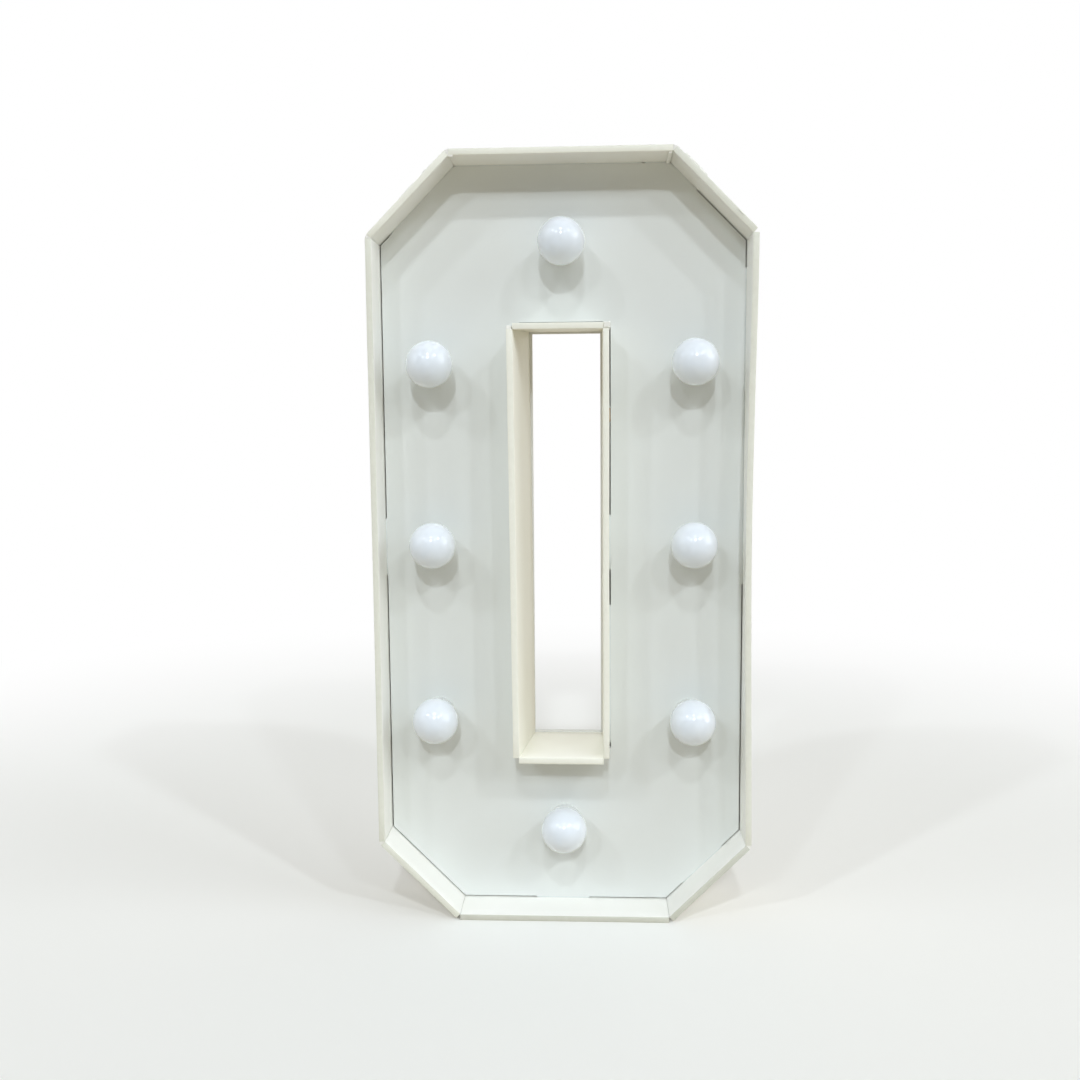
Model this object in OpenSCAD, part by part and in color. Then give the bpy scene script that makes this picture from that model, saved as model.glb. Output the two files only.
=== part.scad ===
// Light-up letter O: a box letter of white foam board that is open at the front.
// Eight screw-in globe lamps stand on its face panel, and a slot goes right through the middle.
// Frame: +X to the right as seen from the front, +Y to the back, +Z up.
// Origin: middle of the underside that the letter stands on.

/* [Letter outline] */
// Overall height of the letter
letter_h = 1000; // [900:5:1150]
// Overall width of the letter
letter_w = 493; // [460:1:600]
// What each corner cut takes off the height and off the width
corner_cut = 104; // [80:1:120]

/* [Boards] */
// Thickness of the wall boards
wall_t = 8; // [5:0.5:10]
// Depth of the walls from front edge to back edge
wall_depth = 127; // [120:1:160]
// Thickness of the face panel
panel_t = 8; // [5:0.5:10]
// Distance of the face panel behind the front edges
panel_setback = 56; // [46:1:60]
// Gap between the edge of the face panel and the walls
panel_gap = 2; // [0.4:0.1:3]
// Thickness of the back cover
cover_t = 5; // [4:0.5:8]
// Gap between the edge of the back cover and the walls
cover_gap = 1; // [0.4:0.1:2]
// Width of the square battens between panel and cover
batten_w = 18; // [14:1:22]
// Distance between the two battens of a long side wall
side_batten_pitch = 470; // [420:5:520]
// Distance between the two battens of the top and of the bottom wall
end_batten_pitch = 190; // [150:5:210]

/* [Slot through the middle] */
// Clear width of the slot at the front edges
slot_w = 114; // [96:1:130]
// Clear height of the slot at the front edges
slot_h = 555; // [480:1:590]
// Shift of the slot to the right of the middle
slot_shift = -4; // [-10:0.5:10]
// Rise of the slot above mid height
slot_rise = 0.5; // [-10:0.5:10]
// Lean of the left slot wall towards the slot, in degrees
slot_lean = 7; // [0:0.5:8]
// Lean of the top slot wall away from the slot, in degrees
slot_top_lean = 3; // [0:0.5:6]
// Gap round the slot walls in the face panel
slot_gap = 2; // [0.5:0.1:3]
// How far the back cover shows inside the slot walls
cover_lip = 3; // [1:0.5:5]
// Distance between the two battens of a slot side wall
slot_batten_pitch = 340; // [280:5:400]

/* [Lamp places] */
// Distance of a lamp column from the middle
lamp_column_x = 170; // [160:1:180]
// Distance between the lamps of a column
lamp_row_pitch = 234; // [200:1:240]
// Rise of the middle row above mid height
lamp_row_rise = 2; // [-10:0.5:10]
// Distance of the top lamp below the top of the letter
lamp_top_drop = 112; // [100:1:125]
// Height of the bottom lamp above the floor
lamp_bottom_rise = 120; // [110:1:140]

/* [Lamps] */
// Diameter of the opal globe
globe_d = 60; // [52:0.5:66]
// Wall thickness of the globe
globe_wall = 1.5; // [1:0.1:2.5]
// Diameter of the globe's mouth, where it sits on the lamp base
mouth_d = 46; // [40:0.5:48]
// Height of the lamp base from its neck end to the globe's mouth
base_h = 16.5; // [12:0.5:24]
// Diameter of the lamp base at its neck
neck_d = 29; // [27:0.5:32]
// Length of the straight neck
neck_h = 3; // [1:0.5:5]
// Diameter of the screw cap
cap_d = 26.2; // [24:0.1:27]
// Length of the screw cap
cap_h = 21.3; // [18:0.1:24]
// Height of the cap's insulating cone
insulator_h = 3.5; // [2:0.1:5]
// Diameter of the contact button
button_d = 9.5; // [7:0.1:11]
// Height of the contact button
button_h = 1.9; // [1:0.1:3]

/* [Lamp holders] */
// Thickness of the ring nut on the front of the panel
ring_t = 4; // [3:0.5:6]
// Outer diameter of the ring nut
ring_d = 46; // [43:0.5:50]
// Diameter of the holder's nose, which passes through the panel
nose_d = 38; // [35:0.5:40]
// Diameter of the shoulder behind the panel
shoulder_d = 46; // [43:0.5:50]
// Thickness of the shoulder
shoulder_t = 4; // [3:0.5:6]
// Diameter of the holder's barrel
barrel_d = 40; // [36:0.5:42]
// Wall thickness of the threaded brass shell
shell_t = 1.6; // [1:0.1:2]
// Diameter of the sprung contact's head
contact_d = 9; // [7:0.1:11]
// Thickness of the sprung contact's head
contact_t = 1.5; // [1:0.1:2.5]
// Diameter of the sprung contact's stem
stem_d = 3; // [2:0.1:4]
// Length of the sprung contact's stem
stem_h = 10; // [6:0.5:11]
// Solid depth between the lamp pocket and the middle of the cable
holder_web = 16; // [15:0.5:20]
// Thickness of the clamp behind the cable
clamp_t = 8; // [6:0.5:10]
// Diameter of the pin that joins the shell to the cable
pin_d = 1.4; // [1:0.1:1.5]
// How far the pin goes into the cable
pin_bite = 1.5; // [1:0.1:2]
// Diameter of the grip notches round the ring nut
ring_notch_d = 4; // [2:0.5:4.5]

/* [Wiring] */
// Diameter of the supply cable
cable_d = 6; // [5:0.1:6.4]
// Straight run of cable on each side of a lamp before it bends
cable_lead = 28; // [26:1:40]
// Diameter of a single wire
wire_d = 2.2; // [1.6:0.1:2.6]
// Distance from the switch to the end of the cable's sheath
sheath_gap = 26; // [20:1:34]
// Distance of each core from the middle of the cable
core_offset = 1.4; // [1.3:0.1:1.6]
// Pull of a wire's curve straight out of its terminal
wire_reach = 18; // [14:1:24]

/* [Switch] */
// Distance of switch and inlet to the right of the middle
switch_x = -100; // [-120:1:-80]
// Width of the switch's bezel
bezel_w = 15; // [14.4:0.1:18]
// Height of the switch's bezel
bezel_h = 21; // [20.4:0.1:24]
// Thickness of the bezel on the back cover
bezel_t = 2; // [1.8:0.1:3]
// Width of the switch body behind the bezel
body_w = 13; // [12.6:0.1:14]
// Height of the switch body behind the bezel
body_h = 19; // [18.6:0.1:20]
// Depth of the switch body behind the bezel
body_depth = 16; // [12:0.5:20]
// Width of the rocker
rocker_w = 9.6; // [8:0.1:9.8]
// Height of the rocker
rocker_h = 15.4; // [13:0.1:15.8]
// Angle of each rocker face to its middle position, in degrees
rocker_tilt = 8; // [5:0.5:9]
// Height of the rocker's middle above its pivots
rocker_crown = 2.2; // [2:0.1:2.8]
// Depth of the rocker below its pivots
rocker_drop = 3; // [2.5:0.1:4]
// Diameter of the rocker's pivots
pivot_d = 2.4; // [1.6:0.1:2.6]
// Depth of the pivots below the face of the back cover
pivot_depth = 1; // [0.5:0.1:2]
// Width of a flat terminal tab
tab_w = 4.8; // [3:0.1:6]
// Thickness of a flat terminal tab
tab_t = 0.8; // [0.5:0.1:1]
// Length of a flat terminal tab
tab_h = 8; // [6:0.5:10]
// Distance between the two tabs
tab_pitch = 10; // [8:0.5:12]

/* [Inlet] */
// Height of the inlet above the floor
inlet_z = 60; // [50:1:75]
// Length of the inlet's flange
flange_w = 32; // [28:0.5:40]
// Height of the inlet's flange
flange_h = 17; // [16:0.5:20]
// Thickness of the inlet's flange
flange_t = 2; // [1.5:0.1:3]
// Depth of the inlet's socket below the flange
socket_depth = 12; // [10:0.5:14]
// Diameter of each round lobe of the socket
lobe_d = 9.2; // [8.6:0.1:9.8]
// Height of the socket at its waist, between the lobes
waist_h = 7; // [6:0.1:8]
// Distance between the two pins
inlet_pitch = 8.6; // [8:0.1:9]
// Diameter of a pin
inlet_pin_d = 2.4; // [2:0.1:3]
// Free length of a pin in the socket
inlet_pin_h = 9; // [7:0.5:10]
// Length of a pin's tail behind the inlet
inlet_tail = 7; // [5:0.5:9]
// Wall thickness of the inlet round and under the socket
inlet_wall = 1.4; // [1:0.1:2]

/* [Screws] */
// Shank diameter of a cover screw
screw_d = 3.5; // [3:0.1:4]
// Head diameter of a cover screw
screw_head_d = 7; // [6:0.1:8]
// Length of a cover screw
screw_l = 18; // [14:1:25]

/* [Clearances] */
// Play round a part that is fixed in a hole
fixed_play = 0.15; // [0.05:0.05:0.3]
// Play between the turning lamp and its holder
lamp_play = 0.3; // [0.2:0.05:0.5]
// Radial play of a sliding stem or a pivot in its bore
running_play = 0.05; // [0.02:0.01:0.08]
// Play between the lamp's button and the sprung contact
contact_play = 0.1; // [0.05:0.05:0.3]
// Play of the rocker in its pocket
rocker_play = 0.25; // [0.2:0.05:0.4]

/* [Hidden] */
$fn = 64;
tube_sides = 8;
bend_steps = 14;
wire_steps = 14;
base_steps = 10;
lamp_count = 8;
ring_notches = 12;
cut = 1;
mid_h = letter_h / 2;
// Depth planes, from front to back
front_y = -wall_depth / 2;
back_y = wall_depth / 2;
panel_y = front_y + panel_setback;
bay_y = panel_y + panel_t;
cover_y = back_y - cover_t;
// Slot
slot_left = slot_shift - slot_w / 2;
slot_right = slot_shift + slot_w / 2;
slot_low = mid_h + slot_rise - slot_h / 2;
slot_high = slot_low + slot_h;
lean_wall_t = wall_t / cos(slot_lean);
top_wall_t = wall_t / cos(slot_top_lean);
plan_front = front_y - cut;
plan_back = cover_y + cut;
// Distances ahead of the panel's front face, along a lamp's axis
globe_r = globe_d / 2;
lamp_seat = ring_t + lamp_play;
mouth_level = lamp_seat + base_h;
globe_level = mouth_level + sqrt(globe_r * globe_r - mouth_d * mouth_d / 4);
cap_end = lamp_seat - cap_h;
button_end = cap_end - insulator_h - button_h;
contact_level = button_end - contact_play;
pocket_end = contact_level - contact_t;
cable_level = pocket_end - holder_web;
cable_y = panel_y - cable_level;
shell_bore_d = cap_d + 2 * lamp_play;
shell_d = shell_bore_d + 2 * shell_t;
shell_pin_x = (shell_bore_d + shell_t) / 2;
pin_reach = holder_web - cable_d / 2 + pin_bite;
channel_d = cable_d + 2 * lamp_play;
clamp_slope = clamp_t / 2;
// Lamps, numbered clockwise from the top as seen from the front: place and turn of the cable
row_mid = mid_h + lamp_row_rise;
top_z = letter_h - lamp_top_drop;
lamp_places = [
    [0, top_z],
    for (row = [1, 0, -1]) [lamp_column_x, row_mid + row * lamp_row_pitch],
    [0, lamp_bottom_rise],
    for (row = [-1, 0, 1]) [-lamp_column_x, row_mid + row * lamp_row_pitch]
];
cable_turns = [0, 90, 90, 90, 0, 90, 90, 90];
row_high = row_mid + lamp_row_pitch;
row_low = row_mid - lamp_row_pitch;
// Switch and inlet
switch_z = lamp_bottom_rise;
rocker_r = rocker_h / 2;
pocket_floor = -pivot_depth - rocker_r * sin(rocker_tilt) - rocker_drop - rocker_play;
pivot_h = (body_w - rocker_w) / 2 - rocker_play;
lobe_wall_d = lobe_d + 2 * inlet_wall;
inlet_l = inlet_pitch + lobe_wall_d;
wire_lead = wire_d / 2;
tab_end_y = back_y - body_depth - tab_h;
tail_end_y = back_y - socket_depth - inlet_wall - inlet_tail;
// Corners of the outline whose joint is filled, counted from the lower right round to the left
filled_corners = [1, 3, 4, 5, 6];

// Outline corners in the X-Z plane, set in from the outer face, counter-clockwise from the lower right
function outline(inset) =
    let (
        half_w = letter_w / 2 - inset,
        half_h = letter_h / 2 - inset,
        chamfer = corner_cut - inset * (2 - sqrt(2))
    )
    [
        [half_w - chamfer, mid_h - half_h], [half_w, mid_h - half_h + chamfer],
        [half_w, mid_h + half_h - chamfer], [half_w - chamfer, mid_h + half_h],
        [chamfer - half_w, mid_h + half_h], [-half_w, mid_h + half_h - chamfer],
        [-half_w, mid_h - half_h + chamfer], [chamfer - half_w, mid_h - half_h]
    ];

inner = outline(wall_t);

function unit(v) = v / norm(v);
// Inner corner, direction and outward normal of a wall
function corner(i) = inner[i % len(inner)];
function along(i) = unit(corner(i + 1) - corner(i));
function outward(i) = [along(i).y, -along(i).x];
function middle(i) = (corner(i) + corner(i + 1)) / 2;

// Inner faces of the two leaning slot walls at a depth
function lean_x(y) = slot_left + (y - front_y) * tan(slot_lean);
function lean_z(y) = slot_high + (y - front_y) * tan(slot_top_lean);

// Wall battens as [wall, distance from the wall's middle]
wall_battens = [
    for (i = [0, 2, 4, 6]) [i, 0],
    for (i = [1, 5], side = [-1, 1]) [i, side * side_batten_pitch / 2],
    for (i = [3, 7], side = [-1, 1]) [i, side * end_batten_pitch / 2]
];
// Heights of the battens beside the slot
slot_side_battens = [for (side = [-1, 1]) mid_h + slot_rise + side * slot_batten_pitch / 2];
// Outer sides of the slot's left, lower and upper battens
batten_left = lean_x(bay_y) - lean_wall_t - batten_w;
batten_low = slot_low - wall_t - batten_w;
batten_high = lean_z(bay_y) + top_wall_t + batten_w;
screw_places = [
    for (b = wall_battens) middle(b[0]) + along(b[0]) * b[1] - outward(b[0]) * batten_w / 2,
    for (z = slot_side_battens) [batten_left + batten_w / 2, z],
    for (z = slot_side_battens) [slot_right + wall_t + batten_w / 2, z],
    [slot_shift, batten_low + batten_w / 2], [slot_shift, batten_high - batten_w / 2]
];

// A flat piece drawn in the X-Z plane, from a depth to the back
module board(y, thick) {
    translate([0, y + thick, 0]) rotate([90, 0, 0]) linear_extrude(thick) children();
}

// A frame on a lamp's axis: local z ahead of the panel's front face, local x along the cable
module at_lamp(k) {
    place = lamp_places[k - 1];
    translate([place.x, panel_y, place.y]) rotate([90, 0, 0]) rotate(cable_turns[k - 1]) children();
}

// A frame on the back: local z out of the back, local y up
module on_back(x, z) {
    translate([x, back_y, z]) rotate([90, 0, 180]) children();
}

// A shape drawn across local x, between two places
module across(width) {
    translate([-width / 2, 0, 0]) rotate([90, 0, 90]) linear_extrude(width) children();
}

// A disc or rod between two levels of local z
module turned(d, low, high) {
    translate([0, 0, low]) cylinder(d = d, h = high - low);
}

// A flat slab with round ends along local x
module stadium(length, d, low, high) {
    translate([(d - length) / 2, -d / 2, low]) cube([length - d, d, high - low]);
    for (side = [-1, 1]) translate([side * (length - d) / 2, 0, 0]) turned(d, low, high);
}

function heading(p, i) = unit(p[min(i + 1, len(p) - 1)] - p[max(i - 1, 0)]);
// Side directions that turn with the path and never twist about it
function transported(s, t) = unit(s - (s * t) * t);
function side_run(p, first) = [
    for (
        i = 0, s = transported(first, heading(p, 0));
        i < len(p);
        i = i + 1, s = transported(s, heading(p, i))
    ) s
];
function tube_ring(p, i, s, d) = [
    for (j = [0:tube_sides - 1])
        let (a = 360 * j / tube_sides)
        p[i] + d / 2 * (cos(a) * s + sin(a) * cross(heading(p, i), s))
];

// A round cord along a path
module tube(p, d, first) {
    sides = side_run(p, first);
    last = (len(p) - 1) * tube_sides;
    polyhedron(
        points = [for (i = [0:len(p) - 1]) each tube_ring(p, i, sides[i], d)],
        faces = [
            [for (j = [0:tube_sides - 1]) j],
            for (i = [0:len(p) - 2], j = [0:tube_sides - 1])
                let (a = i * tube_sides, b = a + tube_sides, n = (j + 1) % tube_sides)
                each [[a + j, b + j, b + n], [a + j, b + n, a + n]],
            [for (j = [tube_sides - 1:-1:0]) last + j]
        ]
    );
}

// Quarter bends in the X-Z plane that leave sideways or upright
function bend_sideways(p, q) = [
    for (i = [1:bend_steps])
        let (a = 90 * i / bend_steps)
        [p.x + (q.x - p.x) * sin(a), q.y + (p.y - q.y) * cos(a)]
];
function bend_upright(p, q) = [
    for (i = [1:bend_steps])
        let (a = 90 * i / bend_steps)
        [q.x + (p.x - q.x) * cos(a), p.y + (q.y - p.y) * sin(a)]
];
// A smooth wire from one end to the other: a straight lead at each end and a curve with a pull between them
function wire_path(p, pull_p, q, pull_q) =
    let (a = p + unit(pull_p) * wire_lead, b = q + unit(pull_q) * wire_lead)
    concat([p], wire_curve(a, pull_p, b, pull_q), [q]);
function wire_curve(a, pull_a, b, pull_b) = [
    for (i = [0:wire_steps])
        let (t = i / wire_steps, r = 1 - t)
        r * r * r * a + 3 * r * r * t * (a + pull_a) + 3 * r * t * t * (b + pull_b) + t * t * t * b
];

module octagon_sheet(inset) {
    polygon(outline(inset));
}

// A rectangular window through a flat board
module window(y, thick, left, right, low, high) {
    board(y - cut, thick + 2 * cut) polygon([[left, low], [right, low], [right, high], [left, high]]);
}

// Opening through the face panel, round the slot's side walls and its end walls
module panel_opening() {
    left = lean_x(panel_y) - slot_gap;
    right = slot_right + slot_gap;
    low = slot_low - slot_gap;
    high = lean_z(bay_y) + slot_gap;
    window(panel_y, panel_t, left - lean_wall_t, right + wall_t, low, high);
    window(panel_y, panel_t, left, right, low - wall_t, high + top_wall_t);
}

module face_panel() {
    color("whitesmoke") difference() {
        board(panel_y, panel_t) octagon_sheet(wall_t + panel_gap);
        panel_opening();
        for (k = [1:lamp_count])
            at_lamp(k) turned(nose_d + 2 * fixed_play, -panel_t - cut, cut);
    }
}

module wall(i) {
    a = corner(i);
    b = corner(i + 1);
    out = outward(i) * wall_t;
    color("ivory") board(front_y, wall_depth) polygon([a, b, b + out, a + out]);
}

module lower_right_wall() wall(0);
module right_wall() wall(1);
module upper_right_wall() wall(2);
module top_wall() wall(3);
module upper_left_wall() wall(4);
module left_wall() wall(5);
module lower_left_wall() wall(6);
module bottom_wall() wall(7);

// The slot's side walls reach from the front edge to the back cover and up to the leaning top wall
module slot_side() {
    polygon([[front_y, slot_low], [cover_y, slot_low], [cover_y, lean_z(cover_y)], [front_y, slot_high]]);
}

module slot_left_wall() {
    color("ivory") intersection() {
        across(letter_w) slot_side();
        linear_extrude(letter_h) polygon([
            [lean_x(plan_front) - lean_wall_t, plan_front], [lean_x(plan_front), plan_front],
            [lean_x(plan_back), plan_back], [lean_x(plan_back) - lean_wall_t, plan_back]
        ]);
    }
}

module slot_right_wall() {
    color("ivory") translate([slot_right + wall_t / 2, 0, 0]) across(wall_t) slot_side();
}

// The end walls stand between the side walls, so their left end is cut along the lean
module slot_end_wall() {
    color("ivory") intersection() {
        across(letter_w) children();
        linear_extrude(letter_h) polygon([
            [lean_x(plan_front), plan_front], [slot_right, plan_front],
            [slot_right, plan_back], [lean_x(plan_back), plan_back]
        ]);
    }
}

module slot_top_wall() {
    slot_end_wall() polygon([
        [front_y, slot_high], [cover_y, lean_z(cover_y)],
        [cover_y, lean_z(cover_y) + top_wall_t], [front_y, slot_high + top_wall_t]
    ]);
}

module slot_bottom_wall() {
    slot_end_wall() polygon([
        [front_y, slot_low - wall_t], [cover_y, slot_low - wall_t], [cover_y, slot_low], [front_y, slot_low]
    ]);
}

module corner_filler() {
    color("white") for (i = filled_corners) {
        before = outward(i + len(inner) - 1) * wall_t;
        after = outward(i) * wall_t;
        board(front_y, wall_depth) polygon([corner(i), corner(i) + before, corner(i) + after]);
    }
}

module cover_screw_axis(place) {
    translate([place.x, back_y, place.y]) rotate([90, 0, 0]) children();
}

module battens() {
    color("burlywood") difference() {
        union() {
            for (b = wall_battens) {
                half = along(b[0]) * batten_w / 2;
                in = -outward(b[0]) * batten_w;
                p = middle(b[0]) + along(b[0]) * b[1];
                board(bay_y, cover_y - bay_y) polygon([p - half, p + half, p + half + in, p - half + in]);
            }
            for (z = slot_side_battens) {
                translate([0, 0, z - batten_w / 2]) linear_extrude(batten_w) polygon([
                    [batten_left, bay_y], [batten_left + batten_w, bay_y],
                    [lean_x(cover_y) - lean_wall_t, cover_y], [batten_left, cover_y]
                ]);
                translate([slot_right + wall_t, bay_y, z - batten_w / 2])
                    cube([batten_w, cover_y - bay_y, batten_w]);
            }
            translate([slot_shift - batten_w / 2, bay_y, batten_low])
                cube([batten_w, cover_y - bay_y, batten_w]);
            translate([slot_shift, 0, 0]) across(batten_w) polygon([
                [bay_y, batten_high - batten_w], [cover_y, lean_z(cover_y) + top_wall_t],
                [cover_y, batten_high], [bay_y, batten_high]
            ]);
        }
        for (place = screw_places)
            cover_screw_axis(place) turned(screw_d + 2 * running_play, cover_t - cut, screw_l + cut);
    }
}

module back_cover() {
    color("whitesmoke") difference() {
        board(cover_y, cover_t) octagon_sheet(wall_t + cover_gap);
        window(
            cover_y, cover_t, lean_x(cover_y) + cover_lip, slot_right - cover_lip,
            slot_low + cover_lip, lean_z(cover_y) - cover_lip
        );
        for (place = screw_places) cover_screw_axis(place) {
            turned(screw_d + 2 * fixed_play, -cut, cover_t + cut);
            screw_head(fixed_play);
        }
        on_back(switch_x, switch_z)
            translate([-body_w / 2 - fixed_play, -body_h / 2 - fixed_play, -cover_t - cut])
                cube([body_w + 2 * fixed_play, body_h + 2 * fixed_play, cover_t + 2 * cut]);
        on_back(switch_x, inlet_z)
            stadium(inlet_l + 2 * fixed_play, lobe_wall_d + 2 * fixed_play, -cover_t - cut, cut);
    }
}

// Countersunk head, widened by a play
module screw_head(play) {
    cylinder(d1 = screw_head_d + 2 * play, d2 = screw_d + 2 * play, h = (screw_head_d - screw_d) / 2);
}

module cover_screws() {
    color("silver") for (place = screw_places) cover_screw_axis(place) {
        screw_head(0);
        turned(screw_d, 0, screw_l - screw_d);
        translate([0, 0, screw_l - screw_d]) cylinder(d1 = screw_d, d2 = 0, h = screw_d);
    }
}

module lamp_globe(k) {
    color("white") at_lamp(k) difference() {
        translate([0, 0, globe_level]) sphere(d = globe_d);
        translate([0, 0, globe_level]) sphere(d = globe_d - 2 * globe_wall);
        turned(globe_d, mouth_level - globe_d, mouth_level);
    }
}

// The base swells in a curve from its neck to the globe's mouth
module lamp_base(k) {
    swell = [
        for (i = [0:base_steps])
            let (a = 90 * i / base_steps)
            [
                neck_d / 2 + (mouth_d - neck_d) / 2 * (1 - cos(a)),
                lamp_seat + neck_h + (base_h - neck_h) * sin(a)
            ]
    ];
    color("gainsboro") at_lamp(k) rotate_extrude()
        polygon(concat([[0, lamp_seat], [neck_d / 2, lamp_seat]], swell, [[0, mouth_level]]));
}

module lamp_cap(k) {
    color("silver") at_lamp(k) {
        turned(cap_d, cap_end, lamp_seat);
        translate([0, 0, cap_end - insulator_h])
            cylinder(d1 = button_d, d2 = cap_d - insulator_h, h = insulator_h);
        turned(button_d, button_end, cap_end - insulator_h);
    }
}

module contact(k) {
    color("goldenrod") at_lamp(k) {
        turned(contact_d, pocket_end, contact_level);
        turned(stem_d, pocket_end - stem_h, pocket_end);
    }
}

module lamp_holders() {
    color("ivory") for (k = [1:lamp_count]) at_lamp(k) difference() {
        union() {
            turned(nose_d, -panel_t, ring_t);
            turned(shoulder_d, -panel_t - shoulder_t, -panel_t);
            turned(barrel_d, cable_level, -panel_t);
        }
        turned(shell_d + 2 * fixed_play, pocket_end, ring_t + cut);
        turned(stem_d + 2 * running_play, pocket_end - stem_h - running_play, pocket_end + cut);
        translate([shell_pin_x, 0, 0])
            turned(pin_d + 2 * running_play, cable_level - cut, pocket_end + cut);
        cable_channel();
    }
}

module cable_channel() {
    translate([-barrel_d, 0, cable_level]) rotate([0, 90, 0]) cylinder(d = channel_d, h = 2 * barrel_d);
}

module holder_clamps() {
    color("ivory") for (k = [1:lamp_count]) at_lamp(k) difference() {
        union() {
            turned(barrel_d, cable_level - clamp_t + clamp_slope, cable_level);
            translate([0, 0, cable_level - clamp_t])
                cylinder(d1 = barrel_d - 2 * clamp_slope, d2 = barrel_d, h = clamp_slope);
        }
        cable_channel();
    }
}

module holder_rings() {
    bore = nose_d + 2 * fixed_play;
    color("ivory") for (k = [1:lamp_count]) at_lamp(k) difference() {
        turned(ring_d, 0, ring_t);
        turned(bore, -cut, ring_t + cut);
        for (i = [1:ring_notches])
            rotate(360 * i / ring_notches) translate([(ring_d + ring_notch_d / 2) / 2, 0, 0])
                turned(ring_notch_d, -cut, ring_t + cut);
    }
}

module holder_shells() {
    color("goldenrod") for (k = [1:lamp_count]) at_lamp(k) {
        difference() {
            turned(shell_d, pocket_end, ring_t);
            turned(shell_bore_d, pocket_end - cut, ring_t + cut);
        }
        translate([shell_pin_x, 0, 0]) turned(pin_d, pocket_end - pin_reach, pocket_end);
    }
}

// The cable starts at the switch, passes every lamp once and ends below the lower left lamp
cable_start = [switch_x + sheath_gap, lamp_bottom_rise];
bottom_exit = [cable_lead, lamp_bottom_rise];
right_entry = [lamp_column_x, row_low - cable_lead];
right_exit = [lamp_column_x, row_high + cable_lead];
top_entry = [cable_lead, top_z];
top_exit = [-cable_lead, top_z];
left_entry = [-lamp_column_x, row_high + cable_lead];
cable_end = [-lamp_column_x, row_low - cable_lead];
cable_route = concat(
    [cable_start, bottom_exit], bend_sideways(bottom_exit, right_entry),
    [right_exit], bend_upright(right_exit, top_entry),
    [top_exit], bend_sideways(top_exit, left_entry),
    [cable_end]
);

module supply_cable() {
    color("whitesmoke") tube([for (p = cable_route) [p.x, cable_y, p.y]], cable_d, [0, 1, 0]);
}

module link_wires() {
    pull = [0, -wire_reach, 0];
    tail = [switch_x, tail_end_y, inlet_z];
    live_tail = tail - [inlet_pitch / 2, 0, 0];
    return_tail = tail + [inlet_pitch / 2, 0, 0];
    feed_tab = [switch_x, tab_end_y, switch_z - tab_pitch / 2];
    lamp_tab = [switch_x, tab_end_y, switch_z + tab_pitch / 2];
    sheath = [cable_start.x, cable_y, cable_start.y];
    core = [0, 0, core_offset];
    color("saddlebrown") {
        tube(wire_path(live_tail, pull, feed_tab, pull), wire_d, [1, 0, 0]);
        tube(wire_path(sheath + core, [-sheath_gap / 2, 0, 0], lamp_tab, pull), wire_d, [0, 0, 1]);
        tube(wire_path(sheath - core, [-sheath_gap / 2, 0, 0], return_tail, pull), wire_d, [0, 1, 0]);
    }
}

module switch_housing() {
    color("dimgray") on_back(switch_x, switch_z) difference() {
        union() {
            translate([-bezel_w / 2, -bezel_h / 2, 0]) cube([bezel_w, bezel_h, bezel_t]);
            translate([-body_w / 2, -body_h / 2, -body_depth]) cube([body_w, body_h, body_depth]);
        }
        translate([-rocker_w / 2 - rocker_play, -rocker_r - rocker_play, pocket_floor])
            cube([rocker_w + 2 * rocker_play, rocker_h + 2 * rocker_play, bezel_t - pocket_floor + cut]);
        translate([-body_w / 2, 0, -pivot_depth])
            rotate([0, 90, 0]) cylinder(d = pivot_d + 2 * running_play, h = body_w);
    }
}

// The rocker's ends are arcs about its pivot, and its two faces meet in a shallow valley
module switch_rocker() {
    rise = rocker_crown + rocker_r * tan(rocker_tilt);
    color("black") on_back(switch_x, switch_z) translate([0, 0, -pivot_depth]) rotate([rocker_tilt, 0, 0]) {
        intersection() {
            translate([-rocker_w / 2, 0, 0]) rotate([0, 90, 0]) cylinder(r = rocker_r, h = rocker_w);
            across(rocker_w) polygon([
                [-rocker_r, -rocker_drop], [rocker_r, -rocker_drop],
                [rocker_r, rise], [0, rocker_crown], [-rocker_r, rise]
            ]);
        }
        translate([-rocker_w / 2 - pivot_h, 0, 0])
            rotate([0, 90, 0]) cylinder(d = pivot_d, h = rocker_w + 2 * pivot_h);
    }
}

module switch_tabs() {
    color("goldenrod") on_back(switch_x, switch_z) for (side = [-1, 1])
        translate([-tab_w / 2, side * tab_pitch / 2 - tab_t / 2, -body_depth - tab_h])
            cube([tab_w, tab_t, tab_h]);
}

module inlet_housing() {
    color("dimgray") on_back(switch_x, inlet_z) difference() {
        union() {
            stadium(flange_w, flange_h, 0, flange_t);
            stadium(inlet_l, lobe_wall_d, -socket_depth - inlet_wall, 0);
        }
        for (side = [-1, 1]) translate([side * inlet_pitch / 2, 0, 0]) {
            turned(lobe_d, -socket_depth, flange_t + cut);
            turned(inlet_pin_d + 2 * running_play, -socket_depth - inlet_wall - cut, cut - socket_depth);
        }
        translate([-inlet_pitch / 2, -waist_h / 2, -socket_depth])
            cube([inlet_pitch, waist_h, socket_depth + flange_t + cut]);
    }
}

module inlet_pins() {
    color("silver") on_back(switch_x, inlet_z) for (side = [-1, 1])
        translate([side * inlet_pitch / 2, 0, 0])
            turned(inlet_pin_d, -socket_depth - inlet_wall - inlet_tail, inlet_pin_h - socket_depth);
}

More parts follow.
